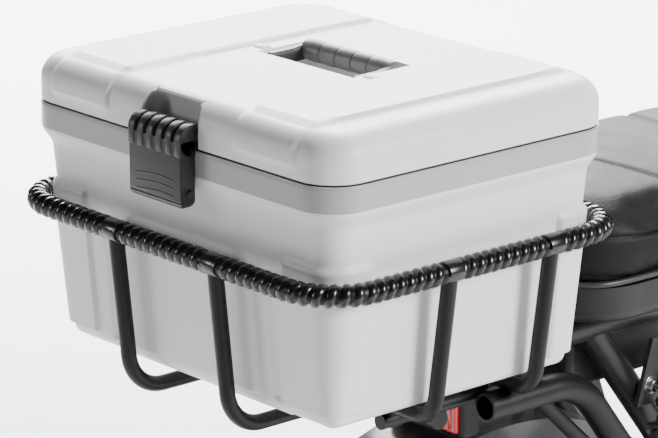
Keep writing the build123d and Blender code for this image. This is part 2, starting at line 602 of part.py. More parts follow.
def stand():
    """The centre stand: a pivot barrel, two splayed legs and their feet."""
    barrel = rod_y(14, STAND_X, STAND_Z, -82, 82)
    legs = barrel
    for sign in (-1, 1):
        foot = (STAND_X + 4, sign * 118, 9)
        legs += tube([(STAND_X, sign * 58, STAND_Z), foot], 10)
        y0, y1 = sorted((sign * 98, sign * 138))
        legs += block(foot[0] - 16, foot[0] + 16, y0, y1, 0, 16, 4)
    legs += tube([(STAND_X + 5, -84, 72), (STAND_X + 5, 84, 72)], 7)
    legs -= rod_y(AXLE_RADIUS + CLEAR, STAND_X, STAND_Z, -140, 140)
    save("centre_stand", legs)


# ------------------------------------------------------------------ seat
def seat_outline(inset):
    """The seat's plan: broad at the back and narrower at the nose."""
    x0, x1 = XR + 5 + inset, XR + 5 + SEAT_LENGTH - inset
    rear, nose = SEAT_WIDTH / 2 - inset, SEAT_NOSE_WIDTH / 2 - inset
    points = [(x0, -rear), (x0 + 190, -rear), (x1, -nose), (x1, nose), (x0 + 190, rear), (x0, rear)]
    sketch = Polygon(*points, align=None)
    corners = sketch.vertices()
    ends = [v for v in corners if abs(v.X - x0) < 1 or abs(v.X - x1) < 1]
    sketch = fillet(ends, 55)
    middle = [v for v in sketch.vertices() if abs(v.X - x0 - 190) < 1]
    return fillet(middle, 200)


def seat():
    """Foam cushion and the moulded pan that it is pulled over."""
    low = SEAT_TOP - SEAT_FOAM
    foam = extrude(Pos(0, 0, low) * seat_outline(0), amount=SEAT_FOAM - 2)
    foam = fillet(foam.edges().group_by(Axis.Z)[-1], 20)
    save("seat_cushion", foam)
    bottom = low - SEAT_PAN_HEIGHT
    pan = extrude(Pos(0, 0, bottom) * seat_outline(7), amount=SEAT_PAN_HEIGHT - 0.3)
    pan = fillet(pan.edges().group_by(Axis.Z)[0], 9)
    pan -= extrude(Pos(0, 0, bottom + 4) * seat_outline(14), amount=SEAT_PAN_HEIGHT)
    knuckle = block(SEAT_PIN_X - 24, SEAT_PIN_X, -20, 20, SEAT_PIN_Z - 4, SEAT_PIN_Z + 5)
    knuckle += rod_y(7, SEAT_PIN_X, SEAT_PIN_Z, -20, 20)
    knuckle -= rod_y(3 + CLEAR, SEAT_PIN_X, SEAT_PIN_Z, -30, 30)
    save("seat_pan", pan + knuckle)


# ------------------------------------------------------------------ mudguard, rack and basket
def rear_mudguard():
    """The rear mudguard, high enough to leave room for the wheel's travel, and its hanger."""
    skin = band(GUARD_INNER, GUARD_INNER + 3, -42, 42)
    skin += band(GUARD_INNER - 14, GUARD_INNER, 39, 42) + band(GUARD_INNER - 14, GUARD_INNER, -42, -39)
    guard = Pos(XR, 0, ZA) * Rot(0, -152, 0) * turned(skin, 132)
    hanger = block(XR + 38, XR + 50, -22, 22, ZA + GUARD_INNER - 10, SEAT_RAIL_Z)
    hanger -= rod_y(GUARD_INNER + 1, XR, ZA, -60, 60)
    hanger -= rod_y(9, XR + 44, SEAT_RAIL_Z, -60, 60)
    save("rear_mudguard", guard + hanger)


GUARD_INNER = TYRE_RADIUS + 46
RAIL_Z = ZS - BOX_DEPTH - 2 - 2 * ROD_RADIUS - RAIL_RADIUS
CROSS_HOOP_Z = ZS - BOX_DEPTH - 2 - ROD_RADIUS
LONG_HOOP_Z = CROSS_HOOP_Z - 2 * ROD_RADIUS + 0.5
CROSSBAR_RADIUS = 8.0
WELD_GAP = 2.0  # each crossbar stops this far short of its rail's middle
RAIL_BORE = 40.0
RAIL_START = 50.0  # how far ahead of the box's middle the rails begin
CROSSBARS = (24.0, 112.0)  # ahead of the box's middle
RUNNER_Y = 112.0
RUNNER_Z = CROSS_HOOP_Z - 2 * ROD_RADIUS - 1.5
RUNNER_REAR = 36.0  # behind the box's middle
CROSSBAR_Z = LONG_HOOP_Z - ROD_RADIUS - CROSSBAR_RADIUS


def rack_rail():
    """The right rail, before its eye is drilled: a bent tube with its strut and an open rear end."""
    y = -RAIL_HALF_TRACK
    route = [(XB + RAIL_START, y, RAIL_Z), (XB + 146, y, RAIL_Z), (RACK_FOOT[0], y, RACK_FOOT[1])]
    rail = tube(route, RAIL_RADIUS, 58)
    rail += tube([(XB + 100, y, RAIL_Z), (XB + 258, y, RAIL_Z - 150)], 6)
    rail += rod_y(RAIL_RADIUS + 1.5, *RACK_FOOT, y - RAIL_RADIUS + 1.5, y + RAIL_RADIUS - 1.5)
    bore = Rot(0, 90, 0) * Cylinder(RAIL_RADIUS - 2, RAIL_BORE, align=BOTTOM)
    return rail - Pos(XB + RAIL_START - 1, y, RAIL_Z) * bore


def rack():
    """The welded carrier rack, and the tail lamp that hangs from its front crossbar."""
    inner = RAIL_HALF_TRACK - RAIL_RADIUS - 10
    right = rack_rail() - rod_y(8, *RACK_FOOT, -RAIL_HALF_TRACK, -inner)
    left = Pos(0, 2 * RAIL_HALF_TRACK, 0) * rack_rail() - rod_y(8, *RACK_FOOT, inner, RAIL_HALF_TRACK)
    carrier = right + left
    for x, end in zip(CROSSBARS, (RUNNER_Y, RAIL_HALF_TRACK - WELD_GAP)):
        carrier += rod_y(CROSSBAR_RADIUS, XB + x, CROSSBAR_Z, -end, end)
    for y in (-RUNNER_Y, RUNNER_Y):
        runner = Cylinder(ROD_RADIUS, RUNNER_REAR + CROSSBARS[-1], align=BOTTOM)
        carrier += Pos(XB - RUNNER_REAR, y, RUNNER_Z) * Rot(0, 90, 0) * runner
    save("carrier_rack", carrier)

    x, z = XB + CROSSBARS[-1], CROSSBAR_Z - CROSSBAR_RADIUS
    housing = block(x - 2, x + 18, -46, 46, z - 48, z - 10, 5) + block(x + 6, x + 62, -34, 34, z - 60, z + 2)
    housing -= block(x - 10, x + 4, -41, 41, z - 43, z - 15)
    housing -= rod_y(GUARD_INNER + 3, XR, ZA, -60, 60)
    housing -= rod_y(CROSSBAR_RADIUS, x, CROSSBAR_Z, -60, 60)
    save("tail_lamp_housing", housing)
    save("tail_lamp_lens", block(x - 6, x + 4, -41, 41, z - 43, z - 15, 2))


def ring_solid(radius, bore=0.0):
    """A round-section rectangular ring round the box, as four straights and four quarter bends."""
    flat = Circle(radius) - Circle(bore) if bore else Circle(radius)
    z = ZS - RING_DROP
    x, y = RING_LENGTH / 2 - RING_CORNER, RING_WIDTH / 2 - RING_CORNER
    solid = None
    for sx in (-1, 1):
        pieces = [Pos(XB + sx * RING_LENGTH / 2, y, z) * extrude(Plane.XZ * flat, amount=2 * y)]
        for sy in (-1, 1):
            start = 0 if sx > 0 else 90
            start = start if sy > 0 else -start - 90
            section = Plane.XZ * Pos(RING_CORNER, 0) * flat
            bend = revolve(section, axis=Axis.Z, revolution_arc=90)
            pieces.append(Pos(XB + sx * x, sy * y, z) * Rot(0, 0, start) * bend)
        for piece in pieces:
            solid = piece if solid is None else solid + piece
    for sy in (-1, 1):
        solid += Pos(XB - x, sy * RING_WIDTH / 2, z) * extrude(Plane.YZ * flat, amount=2 * x)
    return solid


def basket():
    """The ring with the four hoops welded under it, and the wrap round the ring."""
    ring = ring_solid(RING_ROD)
    z = ZS - RING_DROP
    lean = BOX_TAPER * 0.62
    hoops = None
    for y in (-HOOP_Y, HOOP_Y):
        far, near = RING_LENGTH / 2, RING_LENGTH / 2 - lean
        route = [(XB - far, y, z), (XB - near, y, LONG_HOOP_Z), (XB + near, y, LONG_HOOP_Z), (XB + far, y, z)]
        rod = tube(route, ROD_RADIUS, 32)
        hoops = rod if hoops is None else hoops + rod
    for offset in HOOP_X:
        x, far, near = XB + offset, RING_WIDTH / 2, RING_WIDTH / 2 - lean - 3
        route = [(x, -far, z), (x, -near, CROSS_HOOP_Z), (x, near, CROSS_HOOP_Z), (x, far, z)]
        hoops += tube(route, ROD_RADIUS, 22)
    save("basket_frame", hoops + ring)
    save("ring_wrap", ring_solid(WRAP_RADIUS, RING_ROD))


# ------------------------------------------------------------------ cargo box
HINGE_X = BOX_LENGTH / 2 + 8
HINGE_Z = 3.0
HINGE_Y = 92.0
HINGE_PIN = 2.0
HINGE_RADIUS = 5.5
HANDLE_HALF = 52.0
HANDLE_Z = 31.0
HANDLE_REACH = 33.0
RECESS_FLOOR = 6.0
LATCH_HALF = 30.0
LATCH_PIN_X = -BOX_LENGTH / 2 + 3
LATCH_PIN_Z = 13.0
SHOULDER = 8.0  # how far the wall steps in under the rim band
FLOOR_CHAMFER = 9.0


def slab(z0, z1, inset0, inset1):
    """A rounded rectangular slab between two heights, each with its own inset from the box's plan."""
    sections = []
    for z, inset in ((z0, inset0), (z1, inset1)):
        corner = BOX_CORNER - 0.5 * inset
        plan = RectangleRounded(BOX_LENGTH - 2 * inset, BOX_WIDTH - 2 * inset, corner)
        sections.append(Pos(XB, 0, ZS + z) * plan)
    if abs(inset0 - inset1) < 1e-6:
        return extrude(sections[0], amount=z1 - z0)
    return loft(sections, ruled=True)


def box_solid(grow):
    """The body's outside, grown outwards by a given amount. A negative amount gives the inside."""
    floor = BOX_TAPER + FLOOR_CHAMFER - grow
    stations = [
        (-BOX_DEPTH + max(0.0, -grow), floor),
        (-BOX_DEPTH + FLOOR_CHAMFER + max(0.0, -0.5 * grow), floor - FLOOR_CHAMFER),
        (-RIM_BAND - 15, SHOULDER - grow),
        (-RIM_BAND, -grow),
        (0 if grow >= 0 else 1, -grow),
    ]
    solid = None
    for (z0, inset0), (z1, inset1) in zip(stations, stations[1:]):
        piece = slab(z0, z1, inset0, inset1)
        solid = piece if solid is None else solid + piece
    return solid


def cargo_box():
    """The box's body with raised panels, its seal and its hinge knuckles."""
    zone = block(XB - 200, XB + 200, -75, 75, ZS - BOX_DEPTH, ZS - 70, 6)
    for sx in (-1, 1):
        for sy in (-1, 1):
            x0, x1 = sorted((XB + sx * 96, XB + sx * 200))
            y0, y1 = sorted((sy * 128, sy * 240))
            zone += block(x0, x1, y0, y1, ZS - BOX_DEPTH, ZS - 62, 6)
    raised = slab(-BOX_DEPTH + FLOOR_CHAMFER, -RIM_BAND - 15, BOX_TAPER - 2.5, SHOULDER - 2.5)
    body = box_solid(0) + (raised & zone)
    body -= box_solid(-BOX_WALL)
    for x in (-70, 70):
        body += block(XB + x - 40, XB + x + 40, -100, 100, ZS - BOX_DEPTH - 2, ZS - BOX_DEPTH)
    x, z = XB + HINGE_X, ZS + HINGE_Z
    for y in (-HINGE_Y, HINGE_Y):
        for offset in (-14, 14):
            y0, y1 = y + offset - 6.5, y + offset + 6.5
            body += block(XB + BOX_LENGTH / 2 - 2, x + 3, y0, y1, ZS - 15, ZS - 1.5)
            body += rod_y(HINGE_RADIUS, x, z, y0, y1) - block(x - 30, x - 7, y0 - 1, y1 + 1, z - 9, z + 9)
            body -= rod_y(HINGE_PIN, x, z, y0 - 1, y1 + 1)
    save("box_body", body)
    seal = slab(0, GASKET, 1.2, 1.2) - slab(-1, GASKET + 1, 9, 9)
    save("box_seal", seal)


def lid():
    """The lid with its pads, handle recess, latch recess and hinge knuckles."""
    low, high = GASKET, LID_HEIGHT
    core = slab(low, high, 0, 0)
    core = fillet(core.edges().group_by(Axis.Z)[-1], 16)
    raised = slab(low + 6, high + LID_PAD, -1.2, -1.2)
    raised = fillet(raised.edges().group_by(Axis.Z)[-1], 17)
    pads = block(XB - 160, XB + 160, 78, 138, ZS, ZS + 60) + block(XB - 160, XB + 160, -138, -78, ZS, ZS + 60)
    shell = core + (raised & pads)
    handle_pocket = block(XB - 16, XB + HANDLE_REACH + 16, -58, 58, ZS + RECESS_FLOOR, ZS + 60)
    latch_pocket = block(XB - 160, XB + LATCH_PIN_X + 13, -33, 33, ZS, ZS + 60)
    wall = 3.0
    hollow = slab(low - 1, high - 4, wall, wall)
    hollow -= block(XB - 16 - wall, XB + HANDLE_REACH + 16 + wall, -70, 70, ZS + RECESS_FLOOR - wall, ZS + 60)
    hollow -= block(XB - 160, XB + LATCH_PIN_X + 13 + wall, -40, 40, ZS, ZS + 60)
    shell -= hollow
    shell -= handle_pocket
    shell -= latch_pocket
    for side in (-1, 1):
        y0, y1 = sorted((side * 56, side * 68))
        shell += rod_y(8, XB, ZS + HANDLE_Z, y0, y1)
        y0, y1 = sorted((side * 50, side * 66))
        shell -= rod_y(3 + CLEAR, XB, ZS + HANDLE_Z, y0, y1)
        y0, y1 = sorted((side * 30, side * 38))
        shell -= rod_y(2.5 + CLEAR, XB + LATCH_PIN_X, ZS + LATCH_PIN_Z, y0, y1)
    x, z = XB + HINGE_X, ZS + HINGE_Z
    for y in (-HINGE_Y, HINGE_Y):
        shell += block(XB + BOX_LENGTH / 2 - 2, x, y - 7, y + 7, z + 1, z + 5.5)
        shell += rod_y(HINGE_RADIUS, x, z, y - 7, y + 7)
        shell -= rod_y(HINGE_PIN + CLEAR, x, z, y - 8, y + 8)
    shell -= slab(-40, low, -20, -20)
    save("box_lid", shell)


def latch():
    """The over-centre latch: hinged on the lid, gripping the rim band."""
    x = -BOX_LENGTH / 2
    outline = ((x - 0.8, -43), (x - 11, -43), (x - 14, -38), (x - 14.5, 8), (x - 13, 14), (x - 8, 20),
               (x + 3, 21), (x + 8, 17), (x + 8, 9), (x - 0.8, 8))
    body = plate([(XB + a, ZS + b) for a, b in outline], -LATCH_HALF, LATCH_HALF)
    for i in range(5):
        y = (i - 2) * 8.4
        body -= block(XB + x - 20, XB + x - 10.5, y - 1.6, y + 1.6, ZS + 0, ZS + 30)
    body += rod_y(2.5, XB + LATCH_PIN_X, ZS + LATCH_PIN_Z, -37, 37)
    save("latch", body)


def handle():
    """The carrying handle: a bail on two pivots, with a ribbed grip."""
    bail = None
    for side in (-1, 1):
        y0, y1 = sorted((side * (HANDLE_HALF - 7), side * HANDLE_HALF))
        outline = ((-7, -5), (4, -7), (HANDLE_REACH + 4, -4), (HANDLE_REACH + 6, 6), (HANDLE_REACH - 6, 8),
                   (-2, 6), (-7, 4))
        arm = plate([(XB + a, ZS + HANDLE_Z + b) for a, b in outline], y0, y1)
        y0, y1 = sorted((side * (HANDLE_HALF - 2), side * 64))
        arm += rod_y(3, XB, ZS + HANDLE_Z, y0, y1)
        bail = arm if bail is None else bail + arm
    bail += rod_y(4, XB + HANDLE_REACH, ZS + HANDLE_Z + 2, -HANDLE_HALF + 3, HANDLE_HALF - 3)
    save("handle_bail", bail)
    grip = ring_y(4, 8.5, XB + HANDLE_REACH, ZS + HANDLE_Z + 2, -HANDLE_HALF + 7, HANDLE_HALF - 7)
    for y in (-24, -8, 8, 24):
        grip -= ring_y(7.6, 12, XB + HANDLE_REACH, ZS + HANDLE_Z + 2, y - 0.8, y + 0.8)
    save("handle_grip", grip)


for make in (front_wheel, rear_wheel, calipers, fork, handlebar, controls, hoses, frame, deck, suspension,
             stand, seat, rear_mudguard, rack, basket, cargo_box, lid, latch, handle):
    make()
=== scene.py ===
"""The finished look of a seated electric moped with a cargo box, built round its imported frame.

Every length is in metres, in the frame's own axes: +X forward, +Y to the rider's left, +Z up.
"""

from __future__ import annotations

import json
import logging
import math
from collections.abc import Callable, Iterable, Sequence
from dataclasses import dataclass, field
from enum import Enum

import bmesh
import bpy
from mathutils import Matrix, Vector

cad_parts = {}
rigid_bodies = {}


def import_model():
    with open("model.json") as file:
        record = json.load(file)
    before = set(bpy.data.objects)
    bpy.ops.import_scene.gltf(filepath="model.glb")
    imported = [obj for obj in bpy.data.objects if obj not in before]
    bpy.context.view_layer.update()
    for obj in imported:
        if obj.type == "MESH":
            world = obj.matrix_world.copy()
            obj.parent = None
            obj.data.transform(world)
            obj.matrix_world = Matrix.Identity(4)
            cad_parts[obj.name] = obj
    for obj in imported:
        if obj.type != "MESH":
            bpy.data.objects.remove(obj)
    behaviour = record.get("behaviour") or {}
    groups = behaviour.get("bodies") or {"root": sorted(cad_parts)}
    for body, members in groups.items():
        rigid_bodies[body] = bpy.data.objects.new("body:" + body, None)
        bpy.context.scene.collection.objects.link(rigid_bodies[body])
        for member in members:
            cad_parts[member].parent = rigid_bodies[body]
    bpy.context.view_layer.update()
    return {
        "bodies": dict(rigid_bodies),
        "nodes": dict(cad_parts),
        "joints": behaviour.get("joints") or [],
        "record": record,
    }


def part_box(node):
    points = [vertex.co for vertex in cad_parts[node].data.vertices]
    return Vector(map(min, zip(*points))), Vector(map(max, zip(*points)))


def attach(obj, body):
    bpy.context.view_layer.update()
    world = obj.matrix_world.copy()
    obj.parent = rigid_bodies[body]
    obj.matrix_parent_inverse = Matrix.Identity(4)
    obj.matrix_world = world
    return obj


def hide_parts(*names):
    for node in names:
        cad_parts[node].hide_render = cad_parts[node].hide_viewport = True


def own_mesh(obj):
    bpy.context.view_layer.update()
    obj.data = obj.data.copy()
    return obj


LOG = logging.getLogger("moped")
MM = 0.001
Point = Sequence[float]
Piece = bpy.types.Object
FRAME: dict = {}


def joint(name: str) -> dict:
    """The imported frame's joint of that name."""
    return next(entry for entry in FRAME["joints"] if entry["name"] == name)


def middle(low: Point, high: Point) -> list[float]:
    """The point half way between two corners."""
    return [(a + b) / 2 for a, b in zip(low, high)]


# ---------------------------------------------------------------- finishes
class Grain(Enum):
    """The small-scale surface that a finish has."""

    STIPPLE = "stipple"
    PEBBLE = "pebble"
    BRUSHED = "brushed"
    TURNED = "turned"
    ORANGE_PEEL = "orange peel"


@dataclass(frozen=True)
class Finish:
    """One finish, as a material that follows the piece's own coordinates.

    Sizes are in metres. Variation is the share by which the colour and the roughness wander.
    """

    name: str
    colour: tuple[float, float, float]
    roughness: float
    metallic: float = 0.0
    grain: Grain = Grain.STIPPLE
    grain_size: float = 0.0009
    depth: float = 0.12
    variation: float = 0.08
    coat: float = 0.0
    specular: float = 0.5
    clear: float = 0.0
    glow: float = 0.0

    def build(self) -> bpy.types.Material:
        """Makes the material.

        Returns:
            The new material.
        """
        material = bpy.data.materials.new(self.name)
        material.use_nodes = True
        tree = material.node_tree
        shader = tree.nodes["Principled BSDF"]
        shader.inputs["Metallic"].default_value = self.metallic
        shader.inputs["Coat Weight"].default_value = self.coat
        shader.inputs["Coat Roughness"].default_value = 0.12
        shader.inputs["Specular IOR Level"].default_value = self.specular
        shader.inputs["Transmission Weight"].default_value = self.clear
        if self.glow:
            shader.inputs["Emission Color"].default_value = (*self.colour, 1)
            shader.inputs["Emission Strength"].default_value = self.glow
        place = tree.nodes.new("ShaderNodeTexCoord")
        self._colour(tree, shader, place)
        self._roughness(tree, shader, place)
        self._bump(tree, shader, place)
        return material

    def _noise(self, tree: bpy.types.NodeTree, place: bpy.types.Node, scale: float,
               detail: float) -> bpy.types.Node:
        """Adds a noise texture.

        Args:
            tree: The material's node tree.
            place: The coordinate node.
            scale: How many cells there are in a metre.
            detail: How many finer layers are added.

        Returns:
            The texture node.
        """
        noise = tree.nodes.new("ShaderNodeTexNoise")
        noise.inputs["Scale"].default_value = scale
        noise.inputs["Detail"].default_value = detail
        tree.links.new(place.outputs["Object"], noise.inputs["Vector"])
        return noise

    def _colour(self, tree: bpy.types.NodeTree, shader: bpy.types.Node,
                place: bpy.types.Node) -> None:
        """Gives the colour broad, faint patches."""
        noise = self._noise(tree, place, 14.0, 5.0)
        ramp = tree.nodes.new("ShaderNodeValToRGB")
        ramp.color_ramp.elements[0].position = 0.3
        ramp.color_ramp.elements[1].position = 0.72
        ramp.color_ramp.elements[0].color = (*(c * (1 - self.variation) for c in self.colour), 1)
        ramp.color_ramp.elements[1].color = (*(min(1.0, c * (1 + self.variation * 0.5))
                                               for c in self.colour), 1)
        tree.links.new(noise.outputs["Fac"], ramp.inputs["Fac"])
        tree.links.new(ramp.outputs["Color"], shader.inputs["Base Color"])

    def _roughness(self, tree: bpy.types.NodeTree, shader: bpy.types.Node,
                   place: bpy.types.Node) -> None:
        """Lets the gloss wander, as handling and polish leave it."""
        noise = self._noise(tree, place, 38.0, 6.0)
        spread = tree.nodes.new("ShaderNodeMapRange")
        spread.inputs["To Min"].default_value = max(0.03,
                                                    self.roughness * (1 - 1.6 * self.variation))
        spread.inputs["To Max"].default_value = min(1.0,
                                                    self.roughness * (1 + 1.6 * self.variation))
        tree.links.new(noise.outputs["Fac"], spread.inputs["Value"])
        tree.links.new(spread.outputs["Result"], shader.inputs["Roughness"])

    def _bump(self, tree: bpy.types.NodeTree, shader: bpy.types.Node,
              place: bpy.types.Node) -> None:
        """Raises the grain."""
        scale = 1.0 / self.grain_size
        if self.grain is Grain.PEBBLE:
            texture = tree.nodes.new("ShaderNodeTexVoronoi")
            texture.feature = "SMOOTH_F1"
            texture.inputs["Scale"].default_value = scale
            tree.links.new(place.outputs["Object"], texture.inputs["Vector"])
            height = texture.outputs["Distance"]
        elif self.grain is Grain.BRUSHED:
            stretch = tree.nodes.new("ShaderNodeMapping")
            stretch.inputs["Scale"].default_value = (1.0, 0.04, 1.0)
            tree.links.new(place.outputs["Object"], stretch.inputs["Vector"])
            texture = self._noise(tree, place, scale, 3.0)
            tree.links.new(stretch.outputs["Vector"], texture.inputs["Vector"])
            height = texture.outputs["Fac"]
        else:
            detail = {Grain.STIPPLE: 4.0, Grain.TURNED: 2.0}.get(self.grain, 0.0)
            height = self._noise(tree, place, scale, detail).outputs["Fac"]
        bump = tree.nodes.new("ShaderNodeBump")
        bump.inputs["Strength"].default_value = self.depth
        bump.inputs["Distance"].default_value = self.grain_size
        tree.links.new(height, bump.inputs["Height"])
        tree.links.new(bump.outputs["Normal"], shader.inputs["Normal"])


BOX_WHITE = Finish("box_white", (0.80, 0.80, 0.79), 0.42, depth=0.05, variation=0.02,
                   grain_size=0.0011)
# The rim band's finish: the band's slightly greyer plastic, darkened to about half the body's white
# with painted shade.
BOX_BAND_PAINTED_SHADE = Finish("box_band_painted_shade", (0.40, 0.40, 0.405), 0.3, depth=0.03, variation=0.03, coat=0.15)
LATCH_GREY = Finish("latch_grey", (0.028, 0.027, 0.027), 0.4, depth=0.08, grain_size=0.0006)
HANDLE_GREY = Finish("handle_grey", (0.11, 0.11, 0.112), 0.42, depth=0.10, grain_size=0.0007)
FRAME_BLACK = Finish("frame_black", (0.004, 0.004, 0.0043), 0.4, grain=Grain.ORANGE_PEEL,
                     grain_size=0.0016, depth=0.08, coat=0.1, specular=0.4)
RACK_BLACK = Finish("rack_black", (0.003, 0.003, 0.0033), 0.42, grain=Grain.ORANGE_PEEL,
                    grain_size=0.0016, depth=0.05, specular=0.3)
WRAP_BLACK = Finish("wrap_black", (0.004, 0.004, 0.004), 0.28, grain=Grain.ORANGE_PEEL,
                    grain_size=0.0012, depth=0.06, coat=0.2)
PLATE_GRAPHITE = Finish("plate_graphite", (0.045, 0.045, 0.047), 0.4, depth=0.08, grain_size=0.0008,
                        coat=0.1)
CASTING_BLACK = Finish("casting_black", (0.022, 0.022, 0.024), 0.42, depth=0.16, grain_size=0.0012)
MOULDED_BLACK = Finish("moulded_black", (0.006, 0.006, 0.0063), 0.5, depth=0.16, grain_size=0.0008)
GUARD_BLACK = Finish("guard_black", (0.03, 0.03, 0.031), 0.34, grain=Grain.ORANGE_PEEL,
                     grain_size=0.002, depth=0.05, coat=0.4)
RUBBER_BLACK = Finish("rubber_black", (0.018, 0.018, 0.018), 0.68, depth=0.2, grain_size=0.0007)
TYRE_RUBBER = Finish("tyre_rubber", (0.024, 0.024, 0.0235), 0.74, depth=0.22, grain_size=0.0009,
                     variation=0.16)
VINYL_BLACK = Finish("vinyl_black", (0.004, 0.004, 0.0043), 0.58, grain=Grain.PEBBLE,
                     grain_size=0.0017, depth=0.12, specular=0.22)
PIPING_BLACK = Finish("piping_black", (0.02, 0.02, 0.02), 0.42, depth=0.08)
STEEL = Finish("steel", (0.53, 0.53, 0.54), 0.32, metallic=1.0, grain=Grain.TURNED,
               grain_size=0.0006, depth=0.05)
DISC_STEEL = Finish("disc_steel", (0.5, 0.5, 0.51), 0.3, metallic=1.0, grain=Grain.TURNED,
                    grain_size=0.0004, depth=0.07)
ALLOY = Finish("alloy", (0.6, 0.6, 0.61), 0.34, metallic=1.0, grain=Grain.BRUSHED,
               grain_size=0.0005, depth=0.06)
CHROME = Finish("chrome", (0.78, 0.78, 0.79), 0.08, metallic=1.0, grain=Grain.ORANGE_PEEL,
                grain_size=0.003, depth=0.01)
SPRING_BLACK = Finish("spring_black", (0.02, 0.02, 0.021), 0.3, grain=Grain.ORANGE_PEEL, coat=0.3)
LENS_RED = Finish("lens_red", (0.62, 0.012, 0.014), 0.12, grain=Grain.ORANGE_PEEL, depth=0.03,
                  coat=0.6, glow=0.08)
LENS_CLEAR = Finish("lens_clear", (0.93, 0.95, 0.96), 0.04, grain=Grain.ORANGE_PEEL, depth=0.03,
                    clear=0.95)
REFLECTOR = Finish("reflector", (0.85, 0.85, 0.86), 0.1, metallic=1.0, grain=Grain.ORANGE_PEEL,
                   depth=0.02)
SCREEN_GLASS = Finish("screen_glass", (0.012, 0.014, 0.018), 0.07, grain=Grain.ORANGE_PEEL,
                      depth=0.01, coat=0.8)
SCREEN_MARK = Finish("screen_mark", (0.45, 0.8, 0.75), 0.4, glow=0.6)
BUTTON_RED = Finish("button_red", (0.55, 0.03, 0.025), 0.3, depth=0.06, coat=0.2)


@dataclass
class Palette:
    """Builds each finish once and hands out its material."""

    made: dict[str, bpy.types.Material] = field(default_factory=dict)

    def get(self, finish: Finish) -> bpy.types.Material:
        """The material of a finish."""
        if finish.name not in self.made:
            self.made[finish.name] = finish.build()
        return self.made[finish.name]


# ---------------------------------------------------------------- the bench
def smoothstep(value: float) -> float:
    """Rises smoothly from 0 to 1 as the value does."""
    t = min(1.0, max(0.0, value))
    return t * t * (3 - 2 * t)


